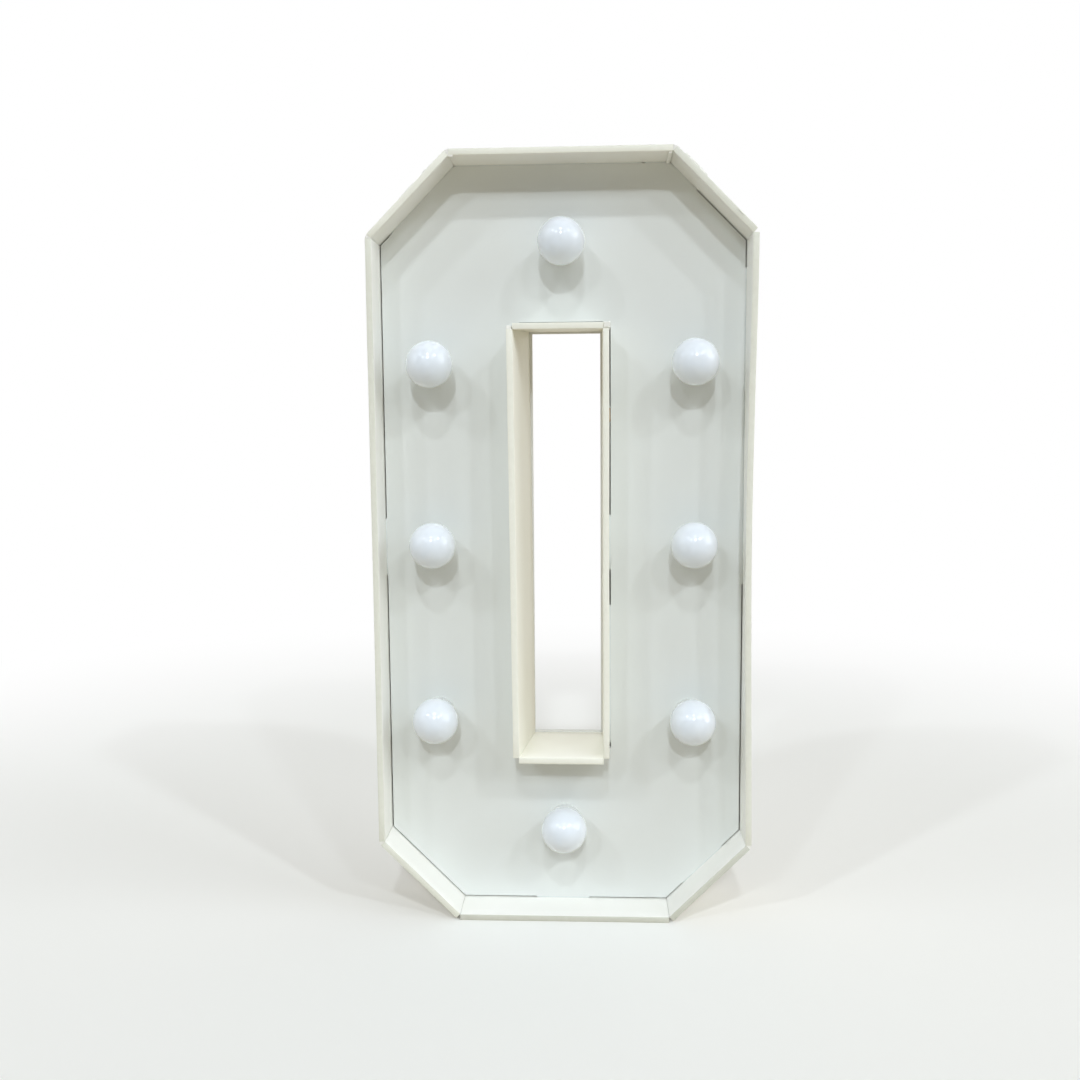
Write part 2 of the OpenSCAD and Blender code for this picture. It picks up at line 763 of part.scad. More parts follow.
face_panel();
top_wall();
upper_right_wall();
right_wall();
lower_right_wall();
bottom_wall();
lower_left_wall();
left_wall();
upper_left_wall();
slot_left_wall();
slot_right_wall();
slot_top_wall();
slot_bottom_wall();
back_cover();
battens();
corner_filler();
cover_screws();
for (k = [1:lamp_count]) {
    lamp_globe(k);
    lamp_base(k);
    lamp_cap(k);
    contact(k);
}
lamp_holders();
holder_rings();
holder_shells();
holder_clamps();
supply_cable();
link_wires();
switch_housing();
switch_rocker();
switch_tabs();
inlet_housing();
inlet_pins();
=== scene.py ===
"""Looks of a free-standing light-up letter O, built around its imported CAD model.

The letter is a hand-built box of foamed PVC board: twelve boards, a recessed face panel, filler in
most of the joints, opal globe lamps, and a screwed back with a rocker switch and a mains inlet.
The letter's lengths are stated in millimetres and built in metres, in the CAD model's own frame.
"""

import logging
import math
from collections.abc import Callable, Iterator, Sequence
from contextlib import contextmanager
from dataclasses import dataclass, field
from enum import Enum, IntEnum

import bmesh
import bpy
from mathutils import Matrix, Vector


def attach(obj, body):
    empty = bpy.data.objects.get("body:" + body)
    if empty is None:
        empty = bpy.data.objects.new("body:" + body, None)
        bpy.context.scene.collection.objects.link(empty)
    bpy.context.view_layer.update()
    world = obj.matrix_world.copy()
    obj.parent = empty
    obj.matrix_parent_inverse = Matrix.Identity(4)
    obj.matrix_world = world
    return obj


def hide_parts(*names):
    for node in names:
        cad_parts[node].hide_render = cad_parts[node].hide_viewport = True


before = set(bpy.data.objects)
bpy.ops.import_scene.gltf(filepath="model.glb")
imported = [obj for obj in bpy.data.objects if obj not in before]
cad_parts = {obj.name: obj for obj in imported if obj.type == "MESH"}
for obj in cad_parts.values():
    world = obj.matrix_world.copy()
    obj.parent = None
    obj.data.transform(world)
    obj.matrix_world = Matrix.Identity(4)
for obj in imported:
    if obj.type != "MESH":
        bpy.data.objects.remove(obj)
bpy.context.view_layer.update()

LOG = logging.getLogger("light_up_letter")
MM = 0.001
# Places in a mesh that are nearer than this are one place
NEAR = 0.3 * MM
# What has more than this share of its length along an axis runs or faces that way
ALONG = 0.9
# Edges that turn by more than this are broken with a small round
SHARP_DEG = 40
# Sockets of the Mix node for colours, which share their names with its other sockets
MIX_SHARE, MIX_A, MIX_B, MIX_RESULT = 0, 6, 7, 2


class Body(Enum):
    """CAD bodies that carry the fixed pieces and the rocker."""

    LETTER = "letter"
    ROCKER = "rocker"


class Slot(Enum):
    """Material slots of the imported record."""

    WALL = "wall_board"
    FILLER = "filler"
    GLOBE = "opal_globe"
    BASE = "lamp_base"
    SCREW = "screw_steel"
    SWITCH = "switch_plastic"
    ROCKER = "rocker_plastic"


class Element(Enum):
    """What a selection in edit mode is made of."""

    VERT = "VERT"
    EDGE = "EDGE"
    FACE = "FACE"


class Axis(IntEnum):
    """Axes of a piece, by their places in a vector."""

    X = 0
    Y = 1
    Z = 2


class Way(Enum):
    """Which way a ripple moves a surface."""

    X = "X"
    Y = "Y"
    Z = "Z"
    NORMAL = "NORMAL"


# Colours and shader nodes


def linear(code: str) -> tuple[float, float, float, float]:
    """Turns an sRGB hex colour into linear light.

    Args:
        code: Six hex digits after a hash sign.

    Returns:
        Red, green, blue and a full alpha.
    """
    channels = [int(code[i:i + 2], 16) / 255 for i in (1, 3, 5)]
    red, green, blue = [c / 12.92 if c <= 0.04045 else ((c + 0.055) / 1.055) ** 2.4 for c in channels]
    return red, green, blue, 1.0


def per_metre(size_mm: float) -> float:
    """Gives a texture's scale from the real size of its pattern in millimetres."""
    return 1000 / size_mm


def add_node(tree: bpy.types.NodeTree, kind: str, settings: dict | None = None,
             links: dict | None = None) -> bpy.types.Node:
    """Adds a shader node with its settings and links.

    Args:
        tree: Node tree of the material or the world.
        kind: Blender's name of the node type.
        settings: Values by input name or index, or by property name.
        links: Output sockets by the name or index of the input that they feed.

    Returns:
        The new node.
    """
    node = tree.nodes.new(kind)
    for key, value in (settings or {}).items():
        if isinstance(key, int) or key in node.inputs:
            node.inputs[key].default_value = value
        else:
            setattr(node, key, value)
    for key, socket in (links or {}).items():
        tree.links.new(socket, node.inputs[key])
    return node


def empty_tree(owner: bpy.types.Material | bpy.types.World) -> bpy.types.NodeTree:
    """Switches a material or the world to nodes and clears them away.

    Args:
        owner: The material or the world.

    Returns:
        Its empty node tree.
    """
    owner.use_nodes = True
    owner.node_tree.nodes.clear()
    return owner.node_tree


# Finishes


@dataclass(frozen=True)
class Relief:
    """A layer of height on a surface: its pattern's real size and depth, its strength and its octaves."""

    size_mm: float
    depth_mm: float
    strength: float
    detail: float = 2.0


@dataclass(frozen=True)
class Finish:
    """A surface whose colour and gloss drift in patches between two values, with layers of relief on it."""

    name: str
    colour: str
    drift: str
    roughness: tuple[float, float] = (0.5, 0.5)
    patch_mm: float = 20
    detail: float = 2.0
    twist: float = 0.0
    stretch: tuple[float, float, float] = (1.0, 1.0, 1.0)
    relief: tuple[Relief, ...] = ()
    shader: tuple[tuple[str, object], ...] = ()

    def make(self) -> bpy.types.Material:
        """Builds the material's nodes.

        Returns:
            The new material.
        """
        material = bpy.data.materials.new(self.name)
        tree = empty_tree(material)
        place = add_node(tree, "ShaderNodeTexCoord").outputs["Object"]
        drawn = add_node(tree, "ShaderNodeMapping", {"Scale": self.stretch}, {"Vector": place})
        where = {"Vector": drawn.outputs["Vector"]}
        grain = {"Scale": per_metre(self.patch_mm), "Detail": self.detail, "Distortion": self.twist}
        patch = add_node(tree, "ShaderNodeTexNoise", grain, where).outputs["Fac"]
        tints = {"data_type": "RGBA", MIX_A: linear(self.colour), MIX_B: linear(self.drift)}
        colour = add_node(tree, "ShaderNodeMix", tints, {MIX_SHARE: patch})
        span = {"To Min": self.roughness[0], "To Max": self.roughness[1]}
        gloss = add_node(tree, "ShaderNodeMapRange", span, {"Value": patch})
        links = {"Base Color": colour.outputs[MIX_RESULT], "Roughness": gloss.outputs["Result"]}
        for layer in self.relief:
            grain = {"Scale": per_metre(layer.size_mm), "Detail": layer.detail}
            height = add_node(tree, "ShaderNodeTexNoise", grain, where).outputs["Fac"]
            below = {"Normal": links["Normal"]} if "Normal" in links else {}
            depth = {"Strength": layer.strength, "Distance": layer.depth_mm * MM}
            bump = add_node(tree, "ShaderNodeBump", depth, {"Height": height} | below)
            links["Normal"] = bump.outputs["Normal"]
        surface = add_node(tree, "ShaderNodeBsdfPrincipled", dict(self.shader), links)
        add_node(tree, "ShaderNodeOutputMaterial", links={"Surface": surface.outputs["BSDF"]})
        return material


@dataclass(frozen=True)
class FoamBoard(Finish):
    """Foamed PVC board with its smooth extruded skin.

    The skin is satin and not quite flat: it has a faint orange peel, long shallow waves that bend
    the light, and soft patches where the white has yellowed.
    """

    roughness: tuple[float, float] = (0.45, 0.6)
    patch_mm: float = 140
    detail: float = 3.0
    relief: tuple[Relief, ...] = (Relief(70, 0.6, 0.4, 0.0), Relief(3, 0.2, 0.12, 1.0))
    shader: tuple[tuple[str, object], ...] = (("IOR", 1.53),)


@dataclass(frozen=True)
class SawnFoam(Finish):
    """Sawn edge of foamed PVC board.

    The open foam under the skin is creamier than the skin and quite matt, with saw marks and pores.
    Real pores are under half a millimetre, so they are drawn at about 2 mm to show.
    """

    roughness: tuple[float, float] = (0.75, 0.85)
    patch_mm: float = 9
    relief: tuple[Relief, ...] = (Relief(2.2, 0.4, 0.35),)
    shader: tuple[tuple[str, object], ...] = (("IOR", 1.5),)


@dataclass(frozen=True)
class AcrylicFiller(Finish):
    """White acrylic filler, pressed in with a finger: whiter than the boards, matt, with soft ridges."""

    roughness: tuple[float, float] = (0.65, 0.75)
    patch_mm: float = 6
    detail: float = 3.0
    relief: tuple[Relief, ...] = (Relief(6, 0.8, 0.5, 3.0),)
    shader: tuple[tuple[str, object], ...] = (("IOR", 1.48),)


@dataclass(frozen=True)
class OpalPolycarbonate(Finish):
    """Blow-moulded opal polycarbonate of a globe lamp.

    Light goes deep into it, so the globe looks milky, with soft shading, the faint swirl of the
    moulding and, from its polished outer skin, a few small glints of the ceiling's lamps.
    """

    roughness: tuple[float, float] = (0.4, 0.5)
    patch_mm: float = 24
    twist: float = 0.6
    relief: tuple[Relief, ...] = (Relief(24, 0.5, 0.08),)
    shader: tuple[tuple[str, object], ...] = (
        ("IOR", 1.58), ("Specular IOR Level", 0.0), ("Subsurface Weight", 1.0),
        ("Subsurface Radius", (1.0, 1.0, 1.0)), ("Subsurface Scale", 70 * MM),
        ("Coat Weight", 1.0), ("Coat Roughness", 0.17))


@dataclass(frozen=True)
class MouldedPlastic(Finish):
    """Injection-moulded plastic with a fine spark-eroded grain that breaks up the gloss.

    Real grain is a few hundredths of a millimetre, so it is drawn at about 1 mm to show.
    """

    roughness: tuple[float, float] = (0.38, 0.5)
    patch_mm: float = 24
    relief: tuple[Relief, ...] = (Relief(1.2, 0.2, 0.15),)
    shader: tuple[tuple[str, object], ...] = (("IOR", 1.5),)


@dataclass(frozen=True)
class PlatedMetal(Finish):
    """Stamped or turned metal, bare or thinly plated, dulled unevenly by handling."""

    roughness: tuple[float, float] = (0.25, 0.46)
    patch_mm: float = 6
    detail: float = 4.0
    shader: tuple[tuple[str, object], ...] = (("Metallic", 1.0),)


@dataclass(frozen=True)
class PlanedPine(Finish):
    """Planed pine: pale wood whose darker year rings are drawn out along the battens, from front to back."""

    roughness: tuple[float, float] = (0.55, 0.65)
    patch_mm: float = 5
    detail: float = 3.0
    twist: float = 0.4
    stretch: tuple[float, float, float] = (1.0, 0.06, 1.0)
    relief: tuple[Relief, ...] = (Relief(5, 0.3, 0.3, 3.0),)
    shader: tuple[tuple[str, object], ...] = (("IOR", 1.5),)


class Finishes:
    """The letter's finishes, each made once."""

    def __init__(self) -> None:
        """Makes every material of the letter."""
        self.panel = FoamBoard("white_foamed_pvc_panel", "#E2E6E2", "#DCDFDA").make()
        self.wall = FoamBoard("ivory_foamed_pvc_board", "#F6F6F0", "#F1F0E8").make()
        self.slot = FoamBoard("cream_foamed_pvc_board", "#F8F7ED", "#F4F3E6").make()
        self.cover = FoamBoard("white_foamed_pvc_cover", "#E8E9E5", "#DFE0DB").make()
        self.edge = SawnFoam("sawn_foamed_pvc_edge", "#E6E7DB", "#DDDED0").make()
        # Front edges drawn lighter than the sawn edge
        self.lighter_edge = SawnFoam("lighter_foamed_pvc_edge", "#F2F2E6", "#EBEBDD").make()
        # Front edges drawn darker than the sawn edge
        self.darker_edged = SawnFoam("darker_foamed_pvc_edge", "#D2D3C8", "#C9CABC").make()
        self.filler = AcrylicFiller("white_acrylic_filler", "#F4F4EE", "#E9E8DF").make()
        self.seal = AcrylicFiller("acrylic_joint_seal", "#E0E5E2", "#D9DDDA").make()
        self.globe = OpalPolycarbonate("opal_polycarbonate", "#DCE5F1", "#D6E0ED").make()
        self.base = MouldedPlastic("white_lamp_base_plastic", "#E7EAEA", "#E0E3E3").make()
        self.holder = MouldedPlastic("white_thermoset_holder", "#DDE0DD", "#D6D9D5").make()
        self.black = MouldedPlastic("black_moulded_nylon", "#1B1B1C", "#222223", (0.45, 0.58)).make()
        self.rocker = MouldedPlastic("polished_black_abs", "#141415", "#18181A", (0.18, 0.26),
                                     relief=(Relief(1.2, 0.2, 0.04),)).make()
        self.sheath = MouldedPlastic("white_pvc_sheath", "#E2E1DC", "#DAD8D0", (0.45, 0.56)).make()
        self.wire = MouldedPlastic("brown_pvc_insulation", "#5A3522", "#4E2D1C").make()
        self.cap = PlatedMetal("nickel_plated_aluminium_cap", "#C9C8C4", "#B2B0AA").make()
        self.brass = PlatedMetal("stamped_brass", "#C9A45A", "#A98543").make()
        self.nickel = PlatedMetal("nickel_plated_brass_pin", "#C8C4BA", "#B4AFA3", (0.16, 0.28)).make()
        self.zinc = PlatedMetal("zinc_plated_steel", "#BFC1C2", "#A3A5A6", (0.27, 0.5)).make()
        self.pine = PlanedPine("planed_pine", "#D9B78A", "#B98F5C").make()


# Modelling tools


def pick(obj: bpy.types.Object) -> None:
    """Makes a piece the only selected one and the active one.

    Args:
        obj: The piece.
    """
    bpy.ops.object.select_all(action="DESELECT")
    obj.select_set(True)
    bpy.context.view_layer.objects.active = obj


@contextmanager
def editing(obj: bpy.types.Object) -> Iterator[None]:
    """Opens a piece in edit mode with nothing selected, and closes it again.

    Args:
        obj: The piece to shape.
    """
    pick(obj)
    bpy.ops.object.mode_set(mode="EDIT")
    bpy.ops.mesh.select_all(action="DESELECT")
    yield
    bpy.ops.object.mode_set(mode="OBJECT")


def choose(obj: bpy.types.Object, element: Element, test: Callable[..., bool]) -> None:
    """Selects what passes a test, in edit mode, and nothing else.

    Args:
        obj: The piece in edit mode.
        element: Whether vertices, edges or faces are tested.
        test: Says of a vertex, edge or face of the mesh whether it is wanted.
    """
    bpy.ops.mesh.select_mode(type=element.value)
    bpy.ops.mesh.select_all(action="DESELECT")
    mesh = bmesh.from_edit_mesh(obj.data)
    found = {Element.VERT: mesh.verts, Element.EDGE: mesh.edges, Element.FACE: mesh.faces}[element]
    for part in found:
        if test(part):
            part.select_set(True)
    mesh.select_flush_mode()
    bmesh.update_edit_mesh(obj.data)


def near(one: float, other: float) -> bool:
    """Says whether two lengths in a mesh, in metres, are the same."""
    return abs(one - other) < NEAR


def nudge(obj: bpy.types.Object, wanted: Callable[[Vector], bool], shift_mm: Sequence[float]) -> None:
    """Moves the vertices at wanted places, in edit mode.

    Args:
        obj: The piece in edit mode.
        wanted: Says of a place in the mesh whether its vertex moves.
        shift_mm: How far they move.
    """
    choose(obj, Element.VERT, lambda vert: wanted(vert.co))
    bpy.ops.transform.translate(value=[s * MM for s in shift_mm])


def draw_out(reach_mm: float) -> None:
    """Extrudes what is selected in edit mode along z."""
    bpy.ops.mesh.extrude_region_move(TRANSFORM_OT_translate={"value": (0, 0, reach_mm * MM)})


def face_out() -> None:
    """Turns every normal of the piece in edit mode outward."""
    bpy.ops.mesh.select_all(action="SELECT")
    bpy.ops.mesh.normals_make_consistent(inside=False)


def modify(obj: bpy.types.Object, kind: str, **settings: object) -> None:
    """Adds a modifier to a piece and applies it.

    Args:
        obj: The piece.
        kind: Blender's name of the modifier type.
        settings: Values of the modifier's properties.
    """
    pick(obj)
    modifier = obj.modifiers.new(kind.lower(), kind)
    for key, value in settings.items():
        setattr(modifier, key, value)
    bpy.ops.object.modifier_apply(modifier=modifier.name)


def soften(obj: bpy.types.Object, width_mm: float, segments: int = 2) -> None:
    """Breaks a piece's sharp edges with a small round."""
    modify(obj, "BEVEL", width=width_mm * MM, segments=segments, limit_method="ANGLE",
           angle_limit=math.radians(SHARP_DEG))


def smooth(obj: bpy.types.Object, angle_deg: float = 35) -> None:
    """Shades a piece smooth up to an angle."""
    pick(obj)
    bpy.ops.object.shade_smooth_by_angle(angle=math.radians(angle_deg))


def carve(obj: bpy.types.Object, cutter: bpy.types.Object) -> None:
    """Takes a cutter's shape out of a piece and keeps the cutter."""
    modify(obj, "BOOLEAN", object=cutter, operation="DIFFERENCE", solver="EXACT")


def place_piece(obj: bpy.types.Object, spot: Matrix) -> None:
    """Moves a piece from where it was modelled to its place and puts that in its mesh.

    Args:
        obj: The piece, modelled about the origin.
        spot: Where its origin and axes go, in the letter's frame.
    """
    pick(obj)
    obj.matrix_world = spot
    bpy.ops.object.transform_apply(location=True, rotation=True, scale=True)


def fresh(name: str) -> bpy.types.Object:
    """Names the object that a primitive has just added, and puts its place and size in its mesh.

    Args:
        name: Name of the piece.

    Returns:
        The object.
    """
    obj = bpy.context.object
    obj.name = obj.data.name = name
    pick(obj)
    bpy.ops.object.transform_apply(location=True, rotation=True, scale=True)
    return obj


def block(name: str, size_mm: Sequence[float], middle_mm: Sequence[float] = (0, 0, 0)) -> bpy.types.Object:
    """Adds a block of a size about a middle, as the start of a piece.

    Args:
        name: Name of the piece.
        size_mm: Its length along each axis.
        middle_mm: Its middle.

    Returns:
        The new object.
    """
    bpy.ops.mesh.primitive_cube_add(size=1, location=[c * MM for c in middle_mm])
    bpy.context.object.scale = [s * MM for s in size_mm]
    return fresh(name)


def turned(name: str, profile: Sequence[tuple[float, float]], sides: int = 72) -> bpy.types.Object:
    """Models a turned piece about z by drawing a disc up through its profile.

    Args:
        name: Name of the piece.
        profile: Radius and height of each ring, from below, in millimetres.
        sides: Number of sides.

    Returns:
        The closed piece.
    """
    radius, height = profile[0]
    bpy.ops.mesh.primitive_circle_add(vertices=sides, radius=radius * MM, fill_type="NGON",
                                      location=(0, 0, height * MM))
    obj = fresh(name)
    with editing(obj):
        choose(obj, Element.FACE, lambda face: True)
        for next_radius, next_height in profile[1:]:
            draw_out(next_height - height)
            grow = next_radius / radius
            bpy.ops.transform.resize(value=(grow, grow, 1))
            radius, height = next_radius, next_height
        face_out()
    return obj


def divide(obj: bpy.types.Object, axis: Axis, cuts: int) -> None:
    """Cuts a block crosswise into equal lengths.

    Args:
        obj: The block.
        axis: The axis along which it is divided.
        cuts: Number of cuts.
    """
    def runs_along(edge: bmesh.types.BMEdge) -> bool:
        """Says whether an edge runs along the axis."""
        run = edge.verts[0].co - edge.verts[1].co
        return abs(run[axis]) > ALONG * run.length

    with editing(obj):
        choose(obj, Element.EDGE, runs_along)
        bpy.ops.mesh.subdivide(number_cuts=cuts)


def ripple(obj: bpy.types.Object, size_mm: float, depth_mm: float, way: Way, level: float,
           seed: float) -> None:
    """Lets a piece's surface wander a little, as hand-fitted work does.

    Args:
        obj: The piece.
        size_mm: Length of a ripple.
        depth_mm: How far the surface moves between the pattern's darkest and lightest.
        way: Which way the surface moves.
        level: Level of the pattern, from its darkest to its lightest, at which the surface stays in place.
        seed: Shift of the pattern in metres, so that no two pieces are alike.
    """
    clouds = bpy.data.textures.new(f"{obj.name}_ripple", "CLOUDS")
    clouds.noise_scale = size_mm * MM
    shift = Matrix.Translation((seed, seed, seed))
    obj.data.transform(shift)
    modify(obj, "DISPLACE", texture=clouds, texture_coords="LOCAL", direction=way.value,
           strength=depth_mm * MM, mid_level=level)
    obj.data.transform(shift.inverted())


def join(name: str, pieces: Sequence[bpy.types.Object]) -> bpy.types.Object:
    """Joins pieces into one.

    Args:
        name: Name of the joined piece.
        pieces: The pieces, all in their places.

    Returns:
        The joined piece.
    """
    pick(pieces[0])
    for piece in pieces:
        piece.select_set(True)
    bpy.ops.object.join()
    whole = bpy.context.object
    whole.name = whole.data.name = name
    return whole


def copy_of(pattern: bpy.types.Object, name: str) -> bpy.types.Object:
    """Copies a piece with a mesh of its own.

    Args:
        pattern: The piece to copy.
        name: Name of the copy.

    Returns:
        The copy.
    """
    obj = pattern.copy()
    obj.data = pattern.data.copy()
    obj.name = obj.data.name = name
    bpy.context.scene.collection.objects.link(obj)
    return obj


def dress(obj: bpy.types.Object, *materials: bpy.types.Material) -> None:
    """Gives a bare piece its materials, in the order of its material slots."""
    for material in materials:
        obj.data.materials.append(material)


def settle(obj: bpy.types.Object, body: str, slot: Slot, *stands_for: str) -> None:
    """Ties a finished piece to its CAD body.

    Args:
        obj: The finished piece.
        body: Name of the CAD body that carries it.
        slot: The record's material slot; not used.
        stands_for: CAD nodes that it replaces.
    """
    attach(obj, body)
    if stands_for:
        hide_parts(*stands_for)
    LOG.info("%s rides on %s, %d faces", obj.name, body, len(obj.data.polygons))


# The letter


@dataclass(frozen=True)
class LetterSizes:
    """The letter's main sizes in millimetres, as the CAD model has them."""

    height: float = 1000
    width: float = 493
    corner_cut: float = 104
    wall: float = 8
    depth: float = 127
    panel_setback: float = 56
    panel: float = 8
    panel_gap: float = 2
    cover: float = 5
    slot_left: float = -61
    slot_right: float = 53
    slot_low: float = 223
    slot_high: float = 778
    slot_lean_deg: float = 7
    slot_rise_deg: float = 3
    # How far the slot's left board was set askew at its top and its foot
    slot_skew: tuple[float, float] = (-0.9, 2.4)

    @property
    def front(self) -> float:
        """Depth of the boards' front edges."""
        return -self.depth / 2

    @property
    def back(self) -> float:
        """Depth of the back."""
        return self.depth / 2

    @property
    def panel_face(self) -> float:
        """Depth of the panel's front face."""
        return self.front + self.panel_setback

    @property
    def lean(self) -> float:
        """Slope of the slot's left board, across over depth."""
        return math.tan(math.radians(self.slot_lean_deg))

    @property
    def rise(self) -> float:
        """Slope of the slot's top board, up over depth."""
        return math.tan(math.radians(self.slot_rise_deg))

    def across_wall(self, slope: float) -> float:
        """Gives the thickness of a leaning board, measured square to the depth."""
        return self.wall * math.hypot(1, slope)

    def outline(self, inset: float) -> list[Vector]:
        """Gives the outline's corners.

        Args:
            inset: Distance inside the outer faces.

        Returns:
            Eight points across and up, counter-clockwise from the lower right.
        """
        half_w = self.width / 2 - inset
        half_h = self.height / 2 - inset
        cut = self.corner_cut - inset * (2 - math.sqrt(2))
        right = [(half_w - cut, -half_h), (half_w, cut - half_h),
                 (half_w, half_h - cut), (half_w - cut, half_h)]
        left = [(-x, -z) for x, z in right]
        return [Vector((x, self.height / 2 + z)) for x, z in right + left]


@dataclass(frozen=True)
class Board:
    """One board, from a start to an end along its inner face, with the inner side on the left.

    A lean and the cuts of the two ends are slopes: across or along the board over depth.
    """

    node: str
    start: Vector
    end: Vector
    depth: float
    thick: float
    seed: float
    waver: float = 0.9
    bow: float = 0.0
    lean: float = 0.0
    start_cut: float = 0.0
    end_cut: float = 0.0

    @property
    def length(self) -> float:
        """Length of the board."""
        return (self.end - self.start).length

    @property
    def outward(self) -> Vector:
        """Direction across and up from its inner to its outer face."""
        run = (self.end - self.start).normalized()
        return Vector((run.y, -run.x))

    def spot(self, share: float = 0.5, level: float = 0.0) -> Matrix:
        """Gives a frame on the board: x along it, y to the back, z to its inner side.

        Args:
            share: Share of the board's length at which the frame stands.
            level: Distance of the frame's origin outside the inner face.

        Returns:
            The frame's matrix, in metres.
        """
        run, out = (self.end - self.start).normalized(), self.outward
        here = (self.start.lerp(self.end, share) + out * level) * MM
        turn = Matrix(((run.x, 0, -out.x), (0, 1, 0), (run.y, 0, -out.y))).to_4x4()
        return Matrix.Translation((here.x, 0, here.y)) @ turn


@dataclass(frozen=True)
class Crack:
    """A crack in a board's front edge: its share of the length, its distance off the inner face, its size.

    The narrowing gives the shares of its length and its width that are left at its back.
    """

    board: str
    share: float
    level: float
    size: tuple[float, float, float]
    narrowing: tuple[float, float] = (0.7, 0.3)


@dataclass
class BoardWalls:
    """The eight boards of the outline and the four that line the slot."""

    sizes: LetterSizes
    finishes: Finishes
    cracks: tuple[Crack, ...] = (Crack("upper_right_wall", 0.2, 5.2, (13, 8, 0.9)),)
    # Boards whose front edges are drawn lighter than sawn, then boards whose front edges are drawn darker;
    # the others' were left as sawn
    lighter_edged: tuple[str, ...] = ("top_wall", "upper_left_wall", "slot_right_wall", "slot_top_wall",
                                "slot_left_wall", "slot_bottom_wall")
    darker_edged: tuple[str, ...] = ("lower_right_wall", "bottom_wall")
    ease: float = 0.8
    waver_length: float = 260
    # Below zero, so that the boards wander to their inner side only and the letter keeps its outer size
    waver_level: float = -0.05
    seed_step: float = 0.37
    right_bow: float = 4.6
    bow_power: float = 1.5
    ring_pitch: float = 40
    fewest_rings: int = 3
    rows: int = 7
    # A face is a sawn one where more than this share of its normal lies in the board's plane
    edge_facing: float = 0.75
    boards: dict[str, Board] = field(default_factory=dict)

    OUTLINE = ("lower_right_wall", "right_wall", "upper_right_wall", "top_wall",
               "upper_left_wall", "left_wall", "lower_left_wall", "bottom_wall")
    SLOT = ("slot_right_wall", "slot_top_wall", "slot_left_wall", "slot_bottom_wall")

    def __post_init__(self) -> None:
        """Works out where each board starts and ends and how it departs from a plain block."""
        s = self.sizes
        inner = s.outline(s.wall)
        own = {
            "right_wall": {"bow": self.right_bow},
            "bottom_wall": {"waver": 0.0},
            "slot_right_wall": {"end_cut": s.rise},
            "slot_top_wall": {"end_cut": -s.lean, "lean": -s.rise, "thick": s.across_wall(s.rise)},
            "slot_left_wall": {"start_cut": -s.rise, "lean": s.lean, "thick": s.across_wall(s.lean)},
            "slot_bottom_wall": {"start_cut": s.lean},
        }
        top_skew, foot_skew = s.slot_skew
        slot = [Vector((s.slot_right, s.slot_low)), Vector((s.slot_right, s.slot_high)),
                Vector((s.slot_left + top_skew, s.slot_high)), Vector((s.slot_left + foot_skew, s.slot_low))]
        # The slot's boards end at the back cover
        rings = ((self.OUTLINE, inner, s.depth), (self.SLOT, slot, s.depth - s.cover))
        for names, corners, depth in rings:
            for i, node in enumerate(names):
                seed = self.seed_step * (1 + len(self.boards))
                values = {"thick": s.wall, "seed": seed} | own.get(node, {})
                self.boards[node] = Board(node, corners[i], corners[(i + 1) % len(corners)], depth, **values)

    def shape(self, board: Board) -> bpy.types.Object:
        """Cuts one board to its shape.

        Args:
            board: Which board.

        Returns:
            The board's object, about the origin: x along it, y to the back, z to its inner side.
        """
        obj = block(board.node.replace("wall", "board"), (board.length, board.depth, board.thick),
                    (0, self.sizes.front + board.depth / 2, 0))
        rings = max(self.fewest_rings, round(board.length / self.ring_pitch))
        divide(obj, Axis.X, rings)
        divide(obj, Axis.Y, self.rows - 1)
        with editing(obj):
            for row in range(self.rows + 1):
                self.set_row(obj, board, rings, row * board.depth / self.rows)
        if board.waver:
            ripple(obj, self.waver_length, board.waver, Way.Z, self.waver_level, board.seed)
        soften(obj, self.ease)
        for crack in self.cracks:
            if crack.board == board.node:
                self.split(obj, board, crack)
        for face in obj.data.polygons:
            in_plane = max(abs(face.normal.x), abs(face.normal.y))
            face.material_index = 1 if in_plane > self.edge_facing else 0
        smooth(obj)
        return obj

    def set_row(self, obj: bpy.types.Object, board: Board, rings: int, behind: float) -> None:
        """Moves one row of a board's vertices to where its lean, its cut ends and its bow put them.

        Args:
            obj: The board's object in edit mode.
            board: Which board.
            rings: Number of cuts along the board.
            behind: Distance of the row behind the front edge.
        """
        y = (self.sizes.front + behind) * MM
        half = board.length * MM / 2
        if board.lean:
            nudge(obj, lambda p: near(p.y, y), (0, 0, behind * board.lean))
        if board.start_cut:
            nudge(obj, lambda p: near(p.y, y) and p.x < NEAR - half, (behind * board.start_cut, 0, 0))
        if board.end_cut:
            nudge(obj, lambda p: near(p.y, y) and p.x > half - NEAR, (behind * board.end_cut, 0, 0))
        ahead = 1 - behind / self.sizes.panel_setback
        if board.bow and ahead > 0:
            self.bow_row(obj, board, y, rings, ahead)

    def split(self, obj: bpy.types.Object, board: Board, crack: Crack) -> None:
        """Opens a crack in a board's front edge, which narrows to the back.

        Args:
            obj: The board's object.
            board: Which board.
            crack: Where the crack is and how big.
        """
        middle = ((crack.share - 0.5) * board.length, self.sizes.front, board.thick / 2 - crack.level)
        cutter = block("crack", crack.size, middle)
        with editing(cutter):
            choose(cutter, Element.FACE, lambda face: face.normal.y > ALONG)
            bpy.ops.transform.resize(value=(crack.narrowing[0], 1, crack.narrowing[1]))
        carve(obj, cutter)
        bpy.data.objects.remove(cutter)

    def bow_row(self, obj: bpy.types.Object, board: Board, y: float, rings: int, share: float) -> None:
        """Bends one row of a board's vertices to its inner side, most at mid length.

        Args:
            obj: The board's object in edit mode.
            board: Which board.
            y: Depth of the row in metres.
            rings: Number of cuts along the board.
            share: Share of the full bow.
        """
        for i in range(1, rings + 1):
            x = (i / (rings + 1) - 0.5) * board.length * MM
            rise = board.bow * share * math.sin(math.pi * i / (rings + 1)) ** self.bow_power
            nudge(obj, lambda p: near(p.x, x) and near(p.y, y), (0, 0, rise))

